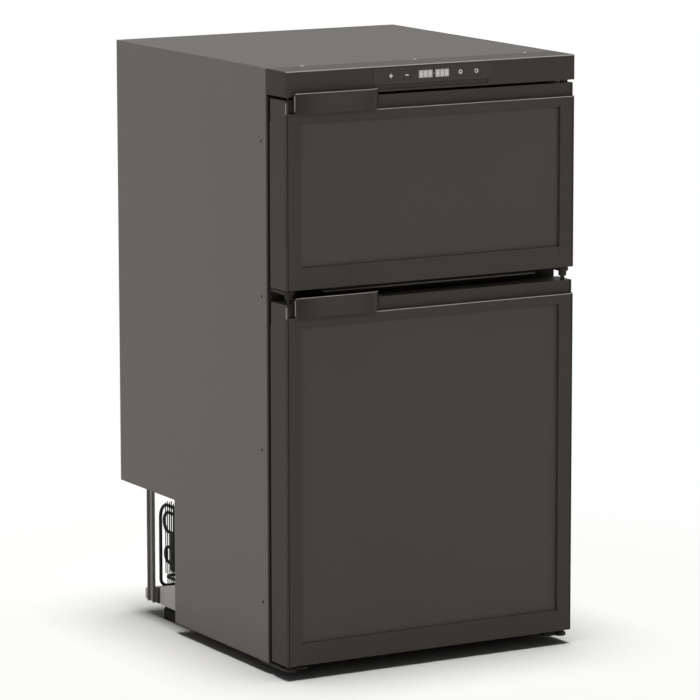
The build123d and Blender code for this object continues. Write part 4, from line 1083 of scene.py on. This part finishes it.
outline_plate("minus_mark", minus_mark, key_front, ink, "print_white", "minus_button")
outline_plate("power_mark", power_mark, key_front, ink, "print_white", "power_button")
outline_plate("mode_mark", mode_mark, key_front, ink, "print_white", "mode_button")
print("marks", wide, "mm wide, at x", plus_x, minus_x, power_x, mode_x)

# %% [markdown]
# The display shows two groups of three digits behind a smoked pane. When every segment is lit the digit
# is an 8. In the picture the groups are pale tiles with darker holes, so a dim tile glows behind each
# group, and the seven bars of each digit glow brighter before it.

# %% Display


def glowing(name, colour, strength):
    """A lit display segment: the colour shows by itself, under a smooth lacquer."""
    finish = Finish(name)
    fine = finish.noise(2000, 1)
    finish.set(
        base_color=finish.blend(fine, (0.02, 0.02, 0.02), (0.03, 0.03, 0.03)),
        roughness=fine * 0.1 + 0.3,
        emission_color=finish.blend(fine, shade(colour, 0.94), colour),
        emission_strength=strength,
        specular_ior_level=0.2,
    )
    return finish.material


finishes["digit_light"] = glowing("digit_light", (0.58, 0.55, 0.51), 1.0)
finishes["tile_light"] = glowing("tile_light", (0.25, 0.24, 0.22), 1.0)
pane_front, film = -243.8 * mm, 0.04 * mm
digit_width, digit_height, digit_pitch, stroke, gap = 4.2, 8.4, 6.9, 1.35, 0.25
tile_width, tile_height = 21.4, 10.6
group_places, point_x, point_size = (-11.5, 14.2), 1.35, 1.0


def eight(x, z):
    """The seven bars of a digit."""
    half_width, half_height = (digit_width - stroke) / 2, (digit_height - stroke) / 2
    flat, tall = digit_width - 2 * stroke + gap, half_height - gap
    bars = [bar(x, z + level * half_height, flat, stroke) for level in (-1, 0, 1)]
    for side in (-1, 1):
        for level in (-1, 1):
            bars.append(bar(x + side * half_width, z + level * half_height / 2, stroke, tall))
    return bars


digits, tiles = [], []
for centre in group_places:
    tiles.append(bar(centre, mark_z, tile_width, tile_height))
    for step in (-1, 0, 1):
        digits += eight(centre + step * digit_pitch, mark_z)
digits.append(bar(point_x, mark_z, point_size, point_size))
outline_plate("display_tiles", tiles, pane_front, film, "tile_light", "cabinet")
outline_plate("display_digits", digits, pane_front - film, film, "digit_light", "cabinet")
print("display with", len(digits), "bars")

# %% [markdown]
# Just under the upper door a thin lip of the same plastic hangs in the gap between the doors, on a neck
# that is set back further. The neck is in the black frame plastic as painted shade under the door's edge.
# It is short enough to pass clear of the brackets when the door swings.

# %% Lip under the upper door
lip_width, lip_height, neck_height, overlap = 330, 1.9, 4.2, 0.1
lip_depth, neck_depth = 6 * mm, 1.5 * mm
door_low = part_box("upper_door_bottom_rail")[0]
door_foot, lip_back = door_low.z / mm, door_low.y + 11 * mm
neck = bar(0, door_foot - neck_height / 2, lip_width, neck_height)
lip = bar(0, door_foot - neck_height - lip_height / 2 + overlap, lip_width, lip_height)
# The neck's black plastic is painted shade.
outline_plate("upper_door_lip_neck", [neck], lip_back, neck_depth, "frame_plastic", "upper_door")
outline_plate("upper_door_lip", [lip], lip_back, lip_depth, "profile_plastic", "upper_door")
print("lip from", lip_back - lip_depth, "to", lip_back, "m along Y")

# %% [markdown]
# The studio. The picture's floor is white, yet the shadow under the body is black and starts sharply right
# below the side panel: that is a wide light straight overhead, with next to no light creeping in sideways.
# A sun lamp with a broad disc does this, since its shadow is sharp near the ground and soft from high up.
# The sides, the front and the back are lit by four large lamps that shine on the refrigerator alone, through
# light linking, so that they don't wash the shadow out.

# %% Lamps
broad, narrow = (2.0, 2.0), (1.4, 1.4)


def sun_lamp(name, spread, strength):
    data = bpy.data.lights.new(name, "SUN")
    data.angle = math.radians(spread)
    data.energy = strength
    bpy.context.scene.collection.objects.link(bpy.data.objects.new(name, data))


def area_lamp(name, place, aim, size, power):
    data = bpy.data.lights.new(name, "AREA")
    data.shape = "RECTANGLE"
    data.size, data.size_y = size
    data.energy = power
    lamp = bpy.data.objects.new(name, data)
    lamp.location = place
    lamp.rotation_euler = (Vector(aim) - Vector(place)).to_track_quat("-Z", "Y").to_euler()
    bpy.context.scene.collection.objects.link(lamp)
    return lamp


sun_lamp("overhead_lamp", 22, 3.05)
side_lamps = [
    area_lamp("left_lamp", (-3.2, 0.6, 1.3), (0, 0, 0.4), broad, 20),
    area_lamp("front_lamp", (-0.3, -3.0, 2.3), (0, 0, 0.35), narrow, 26),
    area_lamp("right_lamp", (3.0, 1.6, 1.3), (0, 0, 0.4), broad, 16),
    area_lamp("back_lamp", (-0.4, 3.0, 2.3), (0, 0, 0.35), narrow, 26),
]
appliance = bpy.data.collections.new("appliance")
for lamp in side_lamps:
    lamp.light_linking.receiver_collection = appliance
print("lamps", [lamp.name for lamp in side_lamps])

# %% [markdown]
# The world is white where the camera looks past the object, and where gloss or glass shows it. Its even
# light on rough surfaces is kept low, so that the gaps between the doors stay dark.
# The floor is white paper that takes the overhead shadow and turns to the world's white further out.

# %% World and floor
white = (1, 1, 1, 1)
shadow_reach, paper_reach, floor_size = 0.45, 1.1, 40


def finds_white(maker):
    """1 for a ray that shall find white: one from the camera, off gloss or through glass."""
    seen = maker.node("ShaderNodeLightPath", out="Is Camera Ray")
    for kind in ("Is Glossy Ray", "Is Transmission Ray"):
        seen = seen.at_least(maker.node("ShaderNodeLightPath", out=kind))
    return seen


def white_world(ambient):
    world = bpy.data.worlds.new("studio_world")
    bpy.context.scene.world = world
    world.use_nodes = True
    sky = Maker(world.node_tree)
    background = sky.tree.nodes["Background"]
    strengths = {"Value": finds_white(sky), "To Min": ambient, "To Max": 1.0}
    sky.feed(background.inputs["Strength"], sky.node("ShaderNodeMapRange", None, strengths))
    sky.feed(background.inputs["Color"], white)


def pale_floor():
    bpy.ops.mesh.primitive_plane_add(size=floor_size)
    floor = bpy.context.object
    floor.name = "floor"
    finish = Finish("floor_paper")
    finish.set(base_color=(0.93, 0.925, 0.91, 1), roughness=0.9, specular_ior_level=0.0)
    away = finish.node("ShaderNodeVectorMath", {"operation": "LENGTH"}, {0: finish.place}, out="Value")
    share = away.clip(shadow_reach, paper_reach) * finds_white(finish)
    glow = finish.node("ShaderNodeEmission", None, {"Color": white, "Strength": 1.0})
    paper = Signal(finish, finish.shader.outputs[0])
    mixed = finish.node("ShaderNodeMixShader", None, {0: share, 1: paper, 2: glow})
    finish.feed(finish.tree.nodes["Material Output"].inputs["Surface"], mixed)
    floor.data.materials.append(finish.material)
    floor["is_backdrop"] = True


white_world(ambient=0.07)
pale_floor()
print("the floor turns white between", shadow_reach, "and", paper_reach, "m from the middle")
bpy.context.scene.view_settings.view_transform = "Standard"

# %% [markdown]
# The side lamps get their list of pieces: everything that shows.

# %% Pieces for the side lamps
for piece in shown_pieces():
    appliance.objects.link(piece)
